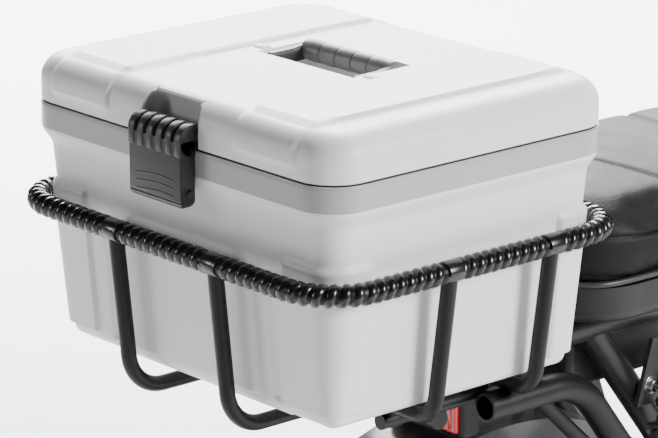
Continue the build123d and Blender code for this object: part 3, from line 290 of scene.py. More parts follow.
class Bench:
    """The modelling moves that the pieces share."""

    def __init__(self, palette: Palette) -> None:
        """Keeps the palette that pieces are dressed from."""
        self.palette = palette

    def clear(self) -> None:
        """Leaves edit mode and deselects everything."""
        if bpy.context.object and bpy.context.object.mode != "OBJECT":
            bpy.ops.object.mode_set(mode="OBJECT")
        bpy.ops.object.select_all(action="DESELECT")

    def take(self, name: str) -> Piece:
        """Names the primitive that was just added and fixes its place into its mesh."""
        piece = bpy.context.object
        piece.name = name
        piece.data.name = name
        bpy.ops.object.transform_apply(location=True, rotation=True, scale=True)
        return piece

    def pick(self, piece: Piece) -> None:
        """Makes a piece the only selected and active object."""
        self.clear()
        piece.select_set(True)
        bpy.context.view_layer.objects.active = piece

    def select(self, piece: Piece, kind: str, test: Callable[[object], bool]) -> None:
        """Enters edit mode and selects what passes a test.

        Args:
            piece: The object to edit.
            kind: VERT, EDGE or FACE.
            test: Says of a bmesh element whether it is selected.
        """
        self.pick(piece)
        bpy.ops.object.mode_set(mode="EDIT")
        bpy.ops.mesh.select_mode(type=kind)
        bpy.ops.mesh.select_all(action="DESELECT")
        mesh = bmesh.from_edit_mesh(piece.data)
        group = {"VERT": mesh.verts, "EDGE": mesh.edges, "FACE": mesh.faces}[kind]
        for element in group:
            if test(element):
                element.select_set(True)
        mesh.select_flush(True)
        bmesh.update_edit_mesh(piece.data)

    def block(self, name: str, low: Point, high: Point, edge: float = 0.0,
              segments: int = 3) -> Piece:
        """A block between two corners with its edges rounded.

        Args:
            name: The piece's name.
            low: The lowest corner.
            high: The highest corner.
            edge: The rounding's radius.
            segments: How many facets the rounding has.

        Returns:
            The new object.
        """
        self.clear()
        size = [b - a for a, b in zip(low, high)]
        bpy.ops.mesh.primitive_cube_add(size=1, location=middle(low, high), scale=size)
        piece = self.take(name)
        if edge:
            self.round_edges(piece, edge, segments, lambda e: True)
        return piece

    def round_edges(self, piece: Piece, width: float, segments: int,
                    test: Callable[[object], bool]) -> None:
        """Bevels the edges that pass a test."""
        self.select(piece, "EDGE", test)
        bpy.ops.mesh.bevel(offset=width, segments=segments, profile=0.5, affect="EDGES",
                           clamp_overlap=True)
        bpy.ops.object.mode_set(mode="OBJECT")

    def rod(self, name: str, start: Point, end: Point, radius: float, sides: int = 32,
            edge: float = 0.0, tip: float | None = None) -> Piece:
        """A round rod between two points.

        Args:
            name: The piece's name.
            start: The centre of its first end.
            end: The centre of its other end.
            radius: The radius at the first end.
            sides: How many sides stand in for the circle.
            edge: How far each rim is rounded.
            tip: The radius at the other end, if it differs.

        Returns:
            The new object.
        """
        self.clear()
        a, b = Vector(start), Vector(end)
        turn = (b - a).to_track_quat("Z", "Y").to_euler()
        bpy.ops.mesh.primitive_cone_add(vertices=sides, radius1=radius,
                                        radius2=radius if tip is None else tip,
                                        depth=(b - a).length, location=(a + b) / 2, rotation=turn)
        piece = self.take(name)
        if edge:
            self.round_edges(piece, edge, 3, lambda e: any(len(f.verts) > 4 for f in e.link_faces))
        return piece

    def ring(self, name: str, centre: Point, axis: Point, radius: float, thickness: float,
             sides: int = 48) -> Piece:
        """A round ring, such as a bead or a weld."""
        self.clear()
        turn = Vector(axis).to_track_quat("Z", "Y").to_euler()
        bpy.ops.mesh.primitive_torus_add(major_radius=radius, minor_radius=thickness,
                                         major_segments=sides, minor_segments=10, location=centre,
                                         rotation=turn)
        return self.take(name)

    def turned(self, name: str, profile: Sequence[tuple[float, float]], centre: Point, axis: Point,
               steps: int = 96) -> Piece:
        """A closed outline spun about an axis.

        Args:
            name: The piece's name.
            profile: Points as the place along the axis and the radius, in order round the section.
            centre: A point on the axis.
            axis: The axis's direction.
            steps: How many steps the turn takes.

        Returns:
            The new object.
        """
        along = Vector(axis).normalized()
        out = along.orthogonal().normalized()
        middle = Vector(centre)
        points = [middle + along * a + out * r for a, r in profile]
        mesh = bpy.data.meshes.new(name)
        mesh.from_pydata(points, [(i, (i + 1) % len(points)) for i in range(len(points))], [])
        piece = bpy.data.objects.new(name, mesh)
        bpy.context.collection.objects.link(piece)
        self.select(piece, "VERT", lambda v: True)
        bpy.ops.mesh.spin(steps=steps, angle=2 * math.pi, center=middle, axis=along)
        bpy.ops.mesh.select_all(action="SELECT")
        bpy.ops.mesh.remove_doubles(threshold=0.00002)
        bpy.ops.mesh.normals_make_consistent(inside=False)
        bpy.ops.object.mode_set(mode="OBJECT")
        return piece

    def tube(self, name: str, points: Sequence[Point], radius: float, closed: bool = False,
             sides: int = 3, smooth: bool = True) -> Piece:
        """A round tube along a smooth line.

        Args:
            name: The piece's name.
            points: The line's control points.
            radius: The tube's radius.
            closed: Whether the line closes on itself.
            sides: The bevel's resolution.
            smooth: Whether the line is a smooth curve between its points.

        Returns:
            The new mesh object.
        """
        self.clear()
        curve = bpy.data.curves.new(name, "CURVE")
        curve.dimensions = "3D"
        curve.bevel_depth = radius
        curve.bevel_resolution = sides
        curve.use_fill_caps = True
        curve.resolution_u = 6
        spline = curve.splines.new("NURBS" if smooth else "POLY")
        spline.points.add(len(points) - 1)
        for slot, point in zip(spline.points, points):
            slot.co = (*point, 1)
        if smooth:
            spline.order_u = 3
            spline.use_endpoint_u = not closed
        spline.use_cyclic_u = closed
        piece = bpy.data.objects.new(name, curve)
        bpy.context.collection.objects.link(piece)
        self.pick(piece)
        bpy.ops.object.convert(target="MESH")
        return bpy.context.object

    def push(self, piece: Piece, face_test: Callable[[object], bool], offset: Point,
             scale: Point = (1, 1, 1), centre: Point | None = None) -> None:
        """Extrudes the faces that pass a test, and scales the new faces.

        Args:
            piece: The object to edit.
            face_test: Says of a face whether it is pushed.
            offset: How far the faces move.
            scale: How much they then grow along each axis.
            centre: The point that they are scaled about.
        """
        self.select(piece, "FACE", face_test)
        bpy.ops.mesh.extrude_region_move(TRANSFORM_OT_translate={"value": offset})
        if centre is not None:
            bpy.ops.transform.resize(value=scale, center_override=centre)
        bpy.ops.object.mode_set(mode="OBJECT")

    def cut(self, piece: Piece, cutters: Iterable[Piece], join: bool = False) -> None:
        """Cuts other shapes out of a piece, or melts them into it."""
        for cutter in cutters:
            self.pick(piece)
            modifier = piece.modifiers.new("cut", "BOOLEAN")
            modifier.operation = "UNION" if join else "DIFFERENCE"
            modifier.solver = "EXACT"
            modifier.object = cutter
            bpy.ops.object.modifier_apply(modifier="cut")
            bpy.data.objects.remove(cutter, do_unlink=True)

    def join(self, name: str, parts: Sequence[Piece]) -> Piece:
        """Gathers several meshes into one object."""
        self.pick(parts[0])
        for part in parts:
            part.select_set(True)
        bpy.ops.object.join()
        piece = bpy.context.object
        piece.name = name
        piece.data.name = name
        return piece

    def copy(self, piece: Piece, name: str, move: Matrix) -> Piece:
        """A copy with its own mesh, moved by a matrix."""
        twin = piece.copy()
        twin.data = piece.data.copy()
        twin.name = name
        twin.data.transform(move)
        if move.determinant() < 0:
            twin.data.flip_normals()
        bpy.context.collection.objects.link(twin)
        return twin

    def finish(self, piece: Piece, finish: Finish, body: str, replaces: Sequence[str] = (),
               slot: str | None = None, angle: float = 38.0) -> Piece:
        """Smooths, dresses and mounts a piece.

        Args:
            piece: The modelled object.
            finish: Its finish, unless it already has materials.
            body: The moving body that carries it.
            replaces: The frame's nodes that it stands for.
            slot: The name of a material slot in the record; not used.
            angle: The sharpest edge, in degrees, that is still smoothed.

        Returns:
            The same object.
        """
        self.pick(piece)
        bpy.ops.object.shade_smooth_by_angle(angle=math.radians(angle))
        if not piece.data.materials:
            piece.data.materials.append(self.palette.get(finish))
        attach(piece, body)
        if replaces:
            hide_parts(*replaces)
        LOG.info("%s rides on %s", piece.name, body)
        return piece


# ---------------------------------------------------------------- cargo box
@dataclass
class CargoBox:
    """The white box: body, lid, latch and handle."""

    bench: Bench
    length: float = 280 * MM
    width: float = 350 * MM
    corner: float = 32 * MM
    depth: float = 186 * MM
    wall: float = 4 * MM
    taper: float = 22 * MM
    shoulder: float = 8 * MM
    band: float = 19 * MM
    floor_chamfer: float = 9 * MM
    lid_height: float = 36 * MM
    lid_edge: float = 19 * MM
    pad: float = 3.2 * MM
    seal: float = 1.5 * MM
    columns: int = 480
    relief: float = 4.0 * MM
    flute: float = 2.2 * MM
    hinge_y: float = 92 * MM
    hinge_radius: float = 5.4 * MM
    handle_reach: float = 33 * MM
    handle_z: float = 31 * MM

    def __post_init__(self) -> None:
        """Finds the seam's middle from the seal."""
        low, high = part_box("box_seal")
        self.x = (low[0] + high[0]) / 2
        self.z = low[2]

    def outline(self, share: float, inset: float) -> tuple[float, float, float, float]:
        """A point on the box's plan.

        Args:
            share: How far round the plan it is, from 0 to 1.
            inset: How far inside the seam's plan it is.

        Returns:
            The point's X and Y from the middle, and the outward normal's X and Y.
        """
        a, b, r = self.length / 2 - self.corner, self.width / 2 - self.corner, self.corner
        runs = [2 * b, r * math.pi / 2, 2 * a, r * math.pi / 2] * 2
        along = share * sum(runs)
        corners = [(a, b), (-a, b), (-a, -b), (a, -b)]
        starts = [(a + r, -b), (a, b + r), (-a - r, b), (-a, -b - r)]
        ways = [(0, 1), (-1, 0), (0, -1), (1, 0)]
        for i, run in enumerate(runs):
            if along <= run or i == 7:
                break
            along -= run
        side = i // 2
        if i % 2 == 0:
            x = starts[side][0] + ways[side][0] * along
            y = starts[side][1] + ways[side][1] * along
            nx, ny = ways[side][1], -ways[side][0]
        else:
            angle = side * math.pi / 2 + along / r
            nx, ny = math.cos(angle), math.sin(angle)
            x, y = corners[side][0] + r * nx, corners[side][1] + r * ny
        return x - inset * nx, y - inset * ny, nx, ny

    def loft(self, name: str, rows: Sequence[tuple[float, float, float]],
             relief: Callable[[float, float, float, float, float], float]) -> Piece:
        """Moulds an open cylinder onto the box's plan, row by row, and closes both ends.

        Args:
            name: The piece's name.
            rows: For each row its height over the seam, its inset, and its shrink towards the middle.
            relief: How far the surface stands out at X, Y, Z with the normal's X and Y.

        Returns:
            The new closed object.
        """
        self.bench.clear()
        bpy.ops.mesh.primitive_grid_add(x_subdivisions=self.columns, y_subdivisions=len(rows) - 1,
                                        size=2)
        piece = self.bench.take(name)
        count = self.columns + 1
        for index, vertex in enumerate(piece.data.vertices):
            column, row = index % count, index // count
            height, inset, shrink = rows[row]
            x, y, nx, ny = self.outline((column % self.columns) / self.columns, inset)
            x, y = x * shrink, y * shrink
            out = relief(x, y, height, nx, ny)
            lift = out if shrink < 1 else 0.0
            spread = 0.0 if shrink < 1 else out
            vertex.co = (self.x + x + spread * nx, y + spread * ny, self.z + height + lift)
        self.bench.select(piece, "VERT", lambda v: True)
        bpy.ops.mesh.remove_doubles(threshold=0.00001)
        bpy.ops.mesh.select_mode(type="EDGE")
        bpy.ops.mesh.select_all(action="DESELECT")
        bpy.ops.mesh.select_non_manifold()
        bpy.ops.mesh.edge_face_add()
        bpy.ops.mesh.select_all(action="SELECT")
        bpy.ops.mesh.normals_make_consistent(inside=False)
        bpy.ops.object.mode_set(mode="OBJECT")
        return piece

    def body_relief(self, x: float, y: float, z: float, nx: float, ny: float) -> float:
        """The raised panels of the body's walls."""
        if z > -55 * MM or z < -176.5 * MM:
            return 0.0
        rise = smoothstep((-60 * MM - z) / (6 * MM))
        if abs(nx) > 0.9:
            arch = (-68 * MM - z) / (7 * MM) - smoothstep((abs(y) - 58 * MM) / (17 * MM)) * 1.4
            panel = smoothstep((76 * MM - abs(y)) / (4.5 * MM)) * smoothstep(arch)
            post = smoothstep((abs(y) - 112 * MM) / (4 * MM)) * rise
            flute = math.exp(-((abs(y) - 94 * MM) / (3.2 * MM)) ** 2)
            flute *= smoothstep((-74 * MM - z) / (6 * MM))
            return self.relief * max(panel, post) - self.flute * flute
        return self.relief * smoothstep((abs(x) - 90 * MM) / (4 * MM)) * rise

    def lid_relief(self, x: float, y: float, z: float, nx: float, ny: float) -> float:
        """The two raised pads that run along the lid and wrap over both its ends."""
        pad = smoothstep((abs(y) - 70 * MM) / (3.5 * MM))
        pad *= smoothstep((140 * MM - abs(y)) / (4 * MM))
        rim = smoothstep((abs(y) - 166 * MM) / (8 * MM)) if z > 30 * MM else 0.0
        return self.pad * pad * smoothstep((z - 8 * MM) / (6 * MM)) - 0.6 * MM * rim

    def body(self) -> None:
        """The body: rim band, shoulder, tapered walls with panels, hinge lugs and a hollow inside."""
        rows = [(0.0, 0.0, 1.0), (-0.4 * MM, -0.2 * MM, 1.0)]
        rows += [(-self.band * i / 5, -0.2 * MM, 1.0) for i in range(1, 6)]
        rows += [(-self.band - 0.5 * MM, 0.6 * MM, 1.0)]
        for i in range(1, 9):
            t = i / 8
            rows.append((-self.band - 15 * MM * t, self.shoulder * smoothstep(t * 0.9 + 0.05), 1.0))
        top, low = -self.band - 15 * MM, -self.depth + self.floor_chamfer
        for i in range(1, 61):
            t = i / 60
            rows.append((top + (low - top) * t, self.shoulder + (self.taper - self.shoulder) * t,
                         1.0))
        for i in range(1, 6):
            t = i / 5 * math.pi / 2
            rows.append((low - self.floor_chamfer * math.sin(t),
                         self.taper + self.floor_chamfer * (1 - math.cos(t)), 1.0))
        shell = self.loft("cargo_box_body", rows, self.body_relief)
        inner = [(6 * MM, self.wall, 1.0), (-self.band, self.wall, 1.0),
                 (top, self.shoulder + self.wall, 1.0), (low + 2 * MM, self.taper + self.wall, 1.0),
                 (-self.depth + self.wall, self.taper + self.wall + self.floor_chamfer, 1.0)]
        hollow = self.loft("hollow", inner, lambda *place: 0.0)
        self.bench.cut(shell, [hollow])
        parts = [shell]
        for x in (-70 * MM, 70 * MM):
            parts.append(self.bench.block("foot",
                                          (self.x + x - 40 * MM, -100 * MM,
                                           self.z - self.depth - 2 * MM),
                                          (self.x + x + 40 * MM, 100 * MM,
                                           self.z - self.depth + 1 * MM), 0.8 * MM))
        parts += self.knuckles((-14 * MM, 14 * MM), 6.5 * MM, -15 * MM, -1.5 * MM)
        shell = self.bench.join("cargo_box_body", parts)
        shell.data.materials.clear()
        shell.data.materials.append(self.bench.palette.get(BOX_WHITE))
        shell.data.materials.append(self.bench.palette.get(BOX_BAND_PAINTED_SHADE))
        # Outer faces of the rim band take the grey band finish: the band's own slightly greyer
        # plastic plus painted shade.
        for face in shell.data.polygons:
            on_band = face.center.z > self.z - self.band - 0.2 * MM and abs(face.normal.z) < 0.5
            outside = face.normal.x * (face.center.x - self.x) + face.normal.y * face.center.y > 0
            behind_hinge = face.center.x < self.x + self.length / 2 + MM
            face.material_index = int(on_band and outside and behind_hinge)
        self.bench.finish(shell, BOX_WHITE, "chassis", ["box_body"], "box_white")

    def knuckles(self, offsets: Sequence[float], half: float, low: float,
                 high: float) -> list[Piece]:
        """The hinge's barrels with the straps that carry them.

        Args:
            offsets: Where each barrel's middle is from the hinge's middle, along Y.
            half: Half a barrel's width.
            low: The strap's lowest height over the seam.
            high: The strap's highest height over the seam.

        Returns:
            The loose parts.
        """
        parts = []
        x, z = self.x + self.length / 2 + 8 * MM, self.z + 3 * MM
        for side in (-1, 1):
            for offset in offsets:
                y = side * self.hinge_y + offset
                parts.append(self.bench.block("strap", (x - 10 * MM, y - half, self.z + low),
                                              (x + 2.5 * MM, y + half, self.z + high), 0.8 * MM))
                parts.append(self.bench.rod("barrel", (x, y - half, z), (x, y + half, z),
                                            self.hinge_radius, 28, 0.6 * MM))
        return parts

    def lid(self) -> None:
        """The lid: a soft-edged cap with two pads, and pockets for the handle and the latch."""
        seal, top, edge = self.seal, self.lid_height, self.lid_edge
        rows = [(seal, 1.2 * MM, 1.0), (seal + 0.5 * MM, 0.4 * MM, 1.0)]
        rows += [(seal + 1.2 * MM + (top - edge - seal - 1.2 * MM) * i / 4, 0.3 * MM, 1.0)
                 for i in range(5)]
        for i in range(1, 13):
            t = i / 12 * math.pi / 2
            rows.append((top - edge + edge * math.sin(t), 0.3 * MM + edge * (1 - math.cos(t)), 1.0))
        for i in range(1, 56):
            crown = 1.2 * MM * (1 - (1 - i / 56) ** 2)
            rows.append((top + crown, edge, 1 - i / 56))
        cap = self.loft("cargo_box_lid", rows, self.lid_relief)
        x, z = self.x, self.z
        cutters = [self.pocket(x - 15 * MM, x + 49 * MM, 57 * MM, z + 6 * MM, z + top),
                   self.pocket(x - 175 * MM, x - 123 * MM, 32.5 * MM, z - 20 * MM, z + top)]
        for side in (-1, 1):
            y0, y1 = sorted((side * 66 * MM, side * 165 * MM))
            cutters.append(self.bench.block("under", (x - 128 * MM, y0, z - 5 * MM),
                                            (x + 128 * MM, y1, z + 29 * MM), 9 * MM, 4))
        self.bench.cut(cap, cutters)
        parts = [cap] + self.knuckles((0.0,), 7 * MM, 4 * MM, 8.5 * MM)
        for side in (-1, 1):
            y0, y1 = sorted((side * 56 * MM, side * 67 * MM))
            parts.append(self.bench.rod("boss", (x, y0, z + self.handle_z),
                                        (x, y1, z + self.handle_z), 8 * MM, 40, 1.8 * MM))
        cap = self.bench.join("cargo_box_lid", parts)
        self.bench.finish(cap, BOX_WHITE, "lid", ["box_lid"], "box_white", 32)

    def pocket(self, x0: float, x1: float, half: float, low: float, top: float) -> Piece:
        """A rounded pocket's cutter whose mouth flares into the lid's top."""
        cutter = self.bench.block("pocket", (x0, -half, low), (x1, half, top - 3 * MM))
        self.bench.round_edges(cutter, 9 * MM, 5,
                               lambda e: abs(e.verts[0].co.z - e.verts[1].co.z) > 5 * MM)
        centre = ((x0 + x1) / 2, 0, top)
        size = ((x1 - x0) / 2, half)
        for step, grow in ((1.0 * MM, 0.3 * MM), (1.0 * MM, 0.8 * MM), (1.0 * MM, 1.5 * MM),
                           (9 * MM, 6 * MM)):
            scale = ((size[0] + grow) / size[0], (size[1] + grow) / size[1], 1)
            self.bench.push(cutter, lambda f: f.normal.z > 0.9, (0, 0, step), scale, centre)
            size = (size[0] + grow, size[1] + grow)
        return cutter

    def latch(self) -> None:
        """The latch: a ribbed thumb roll over a plain tongue with three shallow grip ridges."""
        x, z = self.x - self.length / 2, self.z
        parts = [self.bench.block("tongue", (x - 14 * MM, -30 * MM, z - 42.5 * MM),
                                  (x - 1 * MM, 30 * MM, z + 8 * MM))]
        self.bench.round_edges(parts[0], 12 * MM, 6,
                               lambda e: max(v.co.z for v in e.verts) < z - 42 * MM
                               and abs(e.verts[0].co.x - e.verts[1].co.x) > 5 * MM)
        self.bench.round_edges(parts[0], 1.6 * MM, 3,
                               lambda e: min(v.co.x for v in e.verts) < x - 13.9 * MM
                               and abs(e.verts[0].co.x - e.verts[1].co.x) < 0.1 * MM)
        core = (x - 2.5 * MM, z + 8 * MM)
        parts.append(self.bench.rod("roll", (core[0], -29 * MM, core[1]),
                                    (core[0], 29 * MM, core[1]), 9.6 * MM, 48))
        for i in range(6):
            y = (i - 2.5) * 10.6 * MM
            half = 3.4 * MM if 0 < i < 5 else 3.5 * MM  # the end ribs are a little wider
            rib = self.bench.rod("rib", (core[0], y - half, core[1]), (core[0], y + half, core[1]),
                                 12.2 * MM, 56, 1.2 * MM)
            parts.append(rib)
            parts.append(self.bench.block("rib_foot", (x - 14.7 * MM, y - half, z - 3 * MM),
                                          (x - 9 * MM, y + half, z + 9 * MM), 1.2 * MM))
        for i in range(3):
            height = z - (22 + 6 * i) * MM
            line = [(x - 14.0 * MM, y * MM, height + 1.6 * MM * math.cos((y + 6) / 13))
                    for y in range(-21, 22, 6)]
            parts.append(self.bench.tube("ridge", line, 0.45 * MM))
        parts.append(self.bench.rod("latch_pin", (x + 3 * MM, -36 * MM, z + 13 * MM),
                                    (x + 3 * MM, 36 * MM, z + 13 * MM), 2.4 * MM, 20))
        parts.append(self.bench.rod("detent", (x - 6 * MM, -31.2 * MM, z - 31 * MM),
                                    (x - 6 * MM, -29 * MM, z - 31 * MM), 3 * MM, 20, 0.5 * MM))
        latch = self.bench.join("box_latch", parts)
        self.bench.finish(latch, LATCH_GREY, "latch", ["latch"], "latch_plastic")

    def handle(self) -> None:
        """The bail: two swept arms and a thick grip in five moulded bands."""
        x, z = self.x, self.z + self.handle_z
        reach = self.handle_reach
        parts = []
        for side in (-1, 1):
            arm = self.bench.block("arm", (x - 6 * MM, -3.4 * MM, z - 5 * MM),
                                   (x + 6 * MM, 3.4 * MM, z + 5 * MM))
            self.bench.push(arm, lambda f: f.normal.x > 0.9, (12 * MM, 0, -0.5 * MM), (1, 1, 1.15),
                            (x + 18 * MM, 0, z))
            self.bench.push(arm, lambda f: f.normal.x > 0.9, (13 * MM, 0, 1.5 * MM), (1, 1.1, 1.1),
                            (x + 31 * MM, 0, z + 2 * MM))
            self.bench.round_edges(arm, 2.4 * MM, 4, lambda e: True)
            arm.data.transform(Matrix.Translation((0, side * 48.6 * MM, 0)))
            parts.append(arm)
            parts.append(self.bench.rod("pin", (x, side * 47 * MM, z), (x, side * 63 * MM, z),
                                        3 * MM, 24, 0.4 * MM))
        bail = self.bench.join("handle_arms", parts)
        self.bench.finish(bail, LATCH_GREY, "handle", ["handle_bail"], "latch_plastic")
        centre = (x + reach, 0, z + 2 * MM)
        profile = [(-50 * MM, 0.5 * MM), (-50 * MM, 5.5 * MM), (-48 * MM, 7.6 * MM)]
        for i in range(5):
            a, b = (-45 + 18 * i) * MM, (-45 + 18 * (i + 1)) * MM
            profile += [(a + 0.5 * MM, 8.2 * MM), ((a + b) / 2, 8.7 * MM), (b - 0.5 * MM, 8.2 * MM)]
            if i < 4:
                profile += [(b - 0.3 * MM, 7.3 * MM), (b + 0.3 * MM, 7.3 * MM)]
        profile += [(48 * MM, 7.6 * MM), (50 * MM, 5.5 * MM), (50 * MM, 0.5 * MM)]
        grip = self.bench.turned("handle_grip_bands", profile, centre, (0, 1, 0), 64)
        self.bench.finish(grip, HANDLE_GREY, "handle", ["handle_grip"], "grey_grip", 30)

    def build(self) -> None:
        """Builds every piece of the box."""
        self.body()
        self.lid()
        self.latch()
        self.handle()


# ---------------------------------------------------------------- basket and rack
@dataclass
class Basket:
    """The wound cord round the basket's ring, and the plain collars at the hoops."""

    bench: Bench
    cord: float = 4.3 * MM
    coil: float = 4.6 * MM
    pitch: float = 8.8 * MM
    corner: float = 42 * MM
    hoop_y: float = 57.5 * MM
    hoop_x: tuple[float, float] = (-30 * MM, 70 * MM)
    collar_half: float = 7.5 * MM
    collar_radius: float = 8.4 * MM
    per_turn: int = 14

    def __post_init__(self) -> None:
        """Finds the ring from the wrap's node."""
        low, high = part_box("ring_wrap")
        self.x = (low[0] + high[0]) / 2
        self.z = (low[2] + high[2]) / 2
        self.tube = (high[2] - low[2]) / 2
        self.half_x = (high[0] - low[0]) / 2 - self.tube
        self.half_y = (high[1] - low[1]) / 2 - self.tube

    def at(self, along: float) -> tuple[Vector, Vector]:
        """A point on the ring's centre line, and its outward direction.

        Args:
            along: The distance round the ring, from the middle of its front run.

        Returns:
            The point and the unit vector that points out of the ring.
        """
        a, b, r = self.half_x - self.corner, self.half_y - self.corner, self.corner
        quarter = r * math.pi / 2
        runs = [b, quarter, 2 * a, quarter, 2 * b, quarter, 2 * a, quarter, b]
        total = sum(runs)
        left = along % total
        starts = [(self.half_x, 0), (a, b), (a, self.half_y), (-a, b), (-self.half_x, b), (-a, -b),
                  (-a, -self.half_y), (a, -b), (self.half_x, -b)]
        for i, run in enumerate(runs):
            if left <= run:
                break
            left -= run
        if i % 2:
            angle = (i // 2) * math.pi / 2 + left / r
            out = Vector((math.cos(angle), math.sin(angle), 0))
            centre = Vector((*starts[i], 0))
            point = centre + out * r
        else:
            angle = (i // 2) * math.pi / 2
            out = Vector((math.cos(angle), math.sin(angle), 0))
            way = Vector((-out.y, out.x, 0))
            point = Vector((*starts[i], 0)) + way * left
        return point + Vector((self.x, 0, self.z)), out

    def perimeter(self) -> float:
        """The ring's length along its centre line."""
        return 4 * (self.half_x + self.half_y - 2 * self.corner) + 2 * math.pi * self.corner

    def collars(self) -> list[float]:
        """Where each collar's middle is along the ring."""
        a, b = self.half_x - self.corner, self.half_y - self.corner
        quarter = self.corner * math.pi / 2
        left_run = b + quarter + a
        right_run = left_run + a + quarter + 2 * b + quarter + a
        rear_run = b + quarter + 2 * a + quarter + b
        places = [left_run - x for x in self.hoop_x]
        places += [right_run + x for x in self.hoop_x]
        places += [rear_run - y for y in (self.hoop_y, -self.hoop_y)]
        places += [y % self.perimeter() for y in (self.hoop_y, -self.hoop_y)]
        return sorted(places)

    def build(self) -> None:
        """Winds the cord between the collars, and turns the collars."""
        marks = self.collars()
        half = self.collar_half
        total = self.perimeter()
        windings = []
        for start, end in zip(marks, marks[1:] + [marks[0] + total]):
            run = end - start - 2 * half
            turns = round(run / self.pitch)
            points = []
            for i in range(turns * self.per_turn + 1):
                share = i / (turns * self.per_turn)
                point, out = self.at(start + half + run * share)
                angle = 2 * math.pi * turns * share
                points.append(point
                              + (out * math.cos(angle)
                                 + Vector((0, 0, 1)) * math.sin(angle)) * self.coil)
            windings.append(self.bench.tube("winding", points, self.cord, smooth=False, sides=2))
        wrap = self.bench.join("ring_cord", windings)
        self.bench.finish(wrap, WRAP_BLACK, "chassis", ["ring_wrap"], "wrap", 80)
        collars = []
        for mark in marks:
            a, _ = self.at(mark - half)
            b, _ = self.at(mark + half)
            collars.append(self.bench.rod("collar", a, b, self.collar_radius, 36, 1.2 * MM))
        collar = self.bench.join("ring_collars", collars)
        self.bench.finish(collar, WRAP_BLACK, "chassis", (), "wrap")


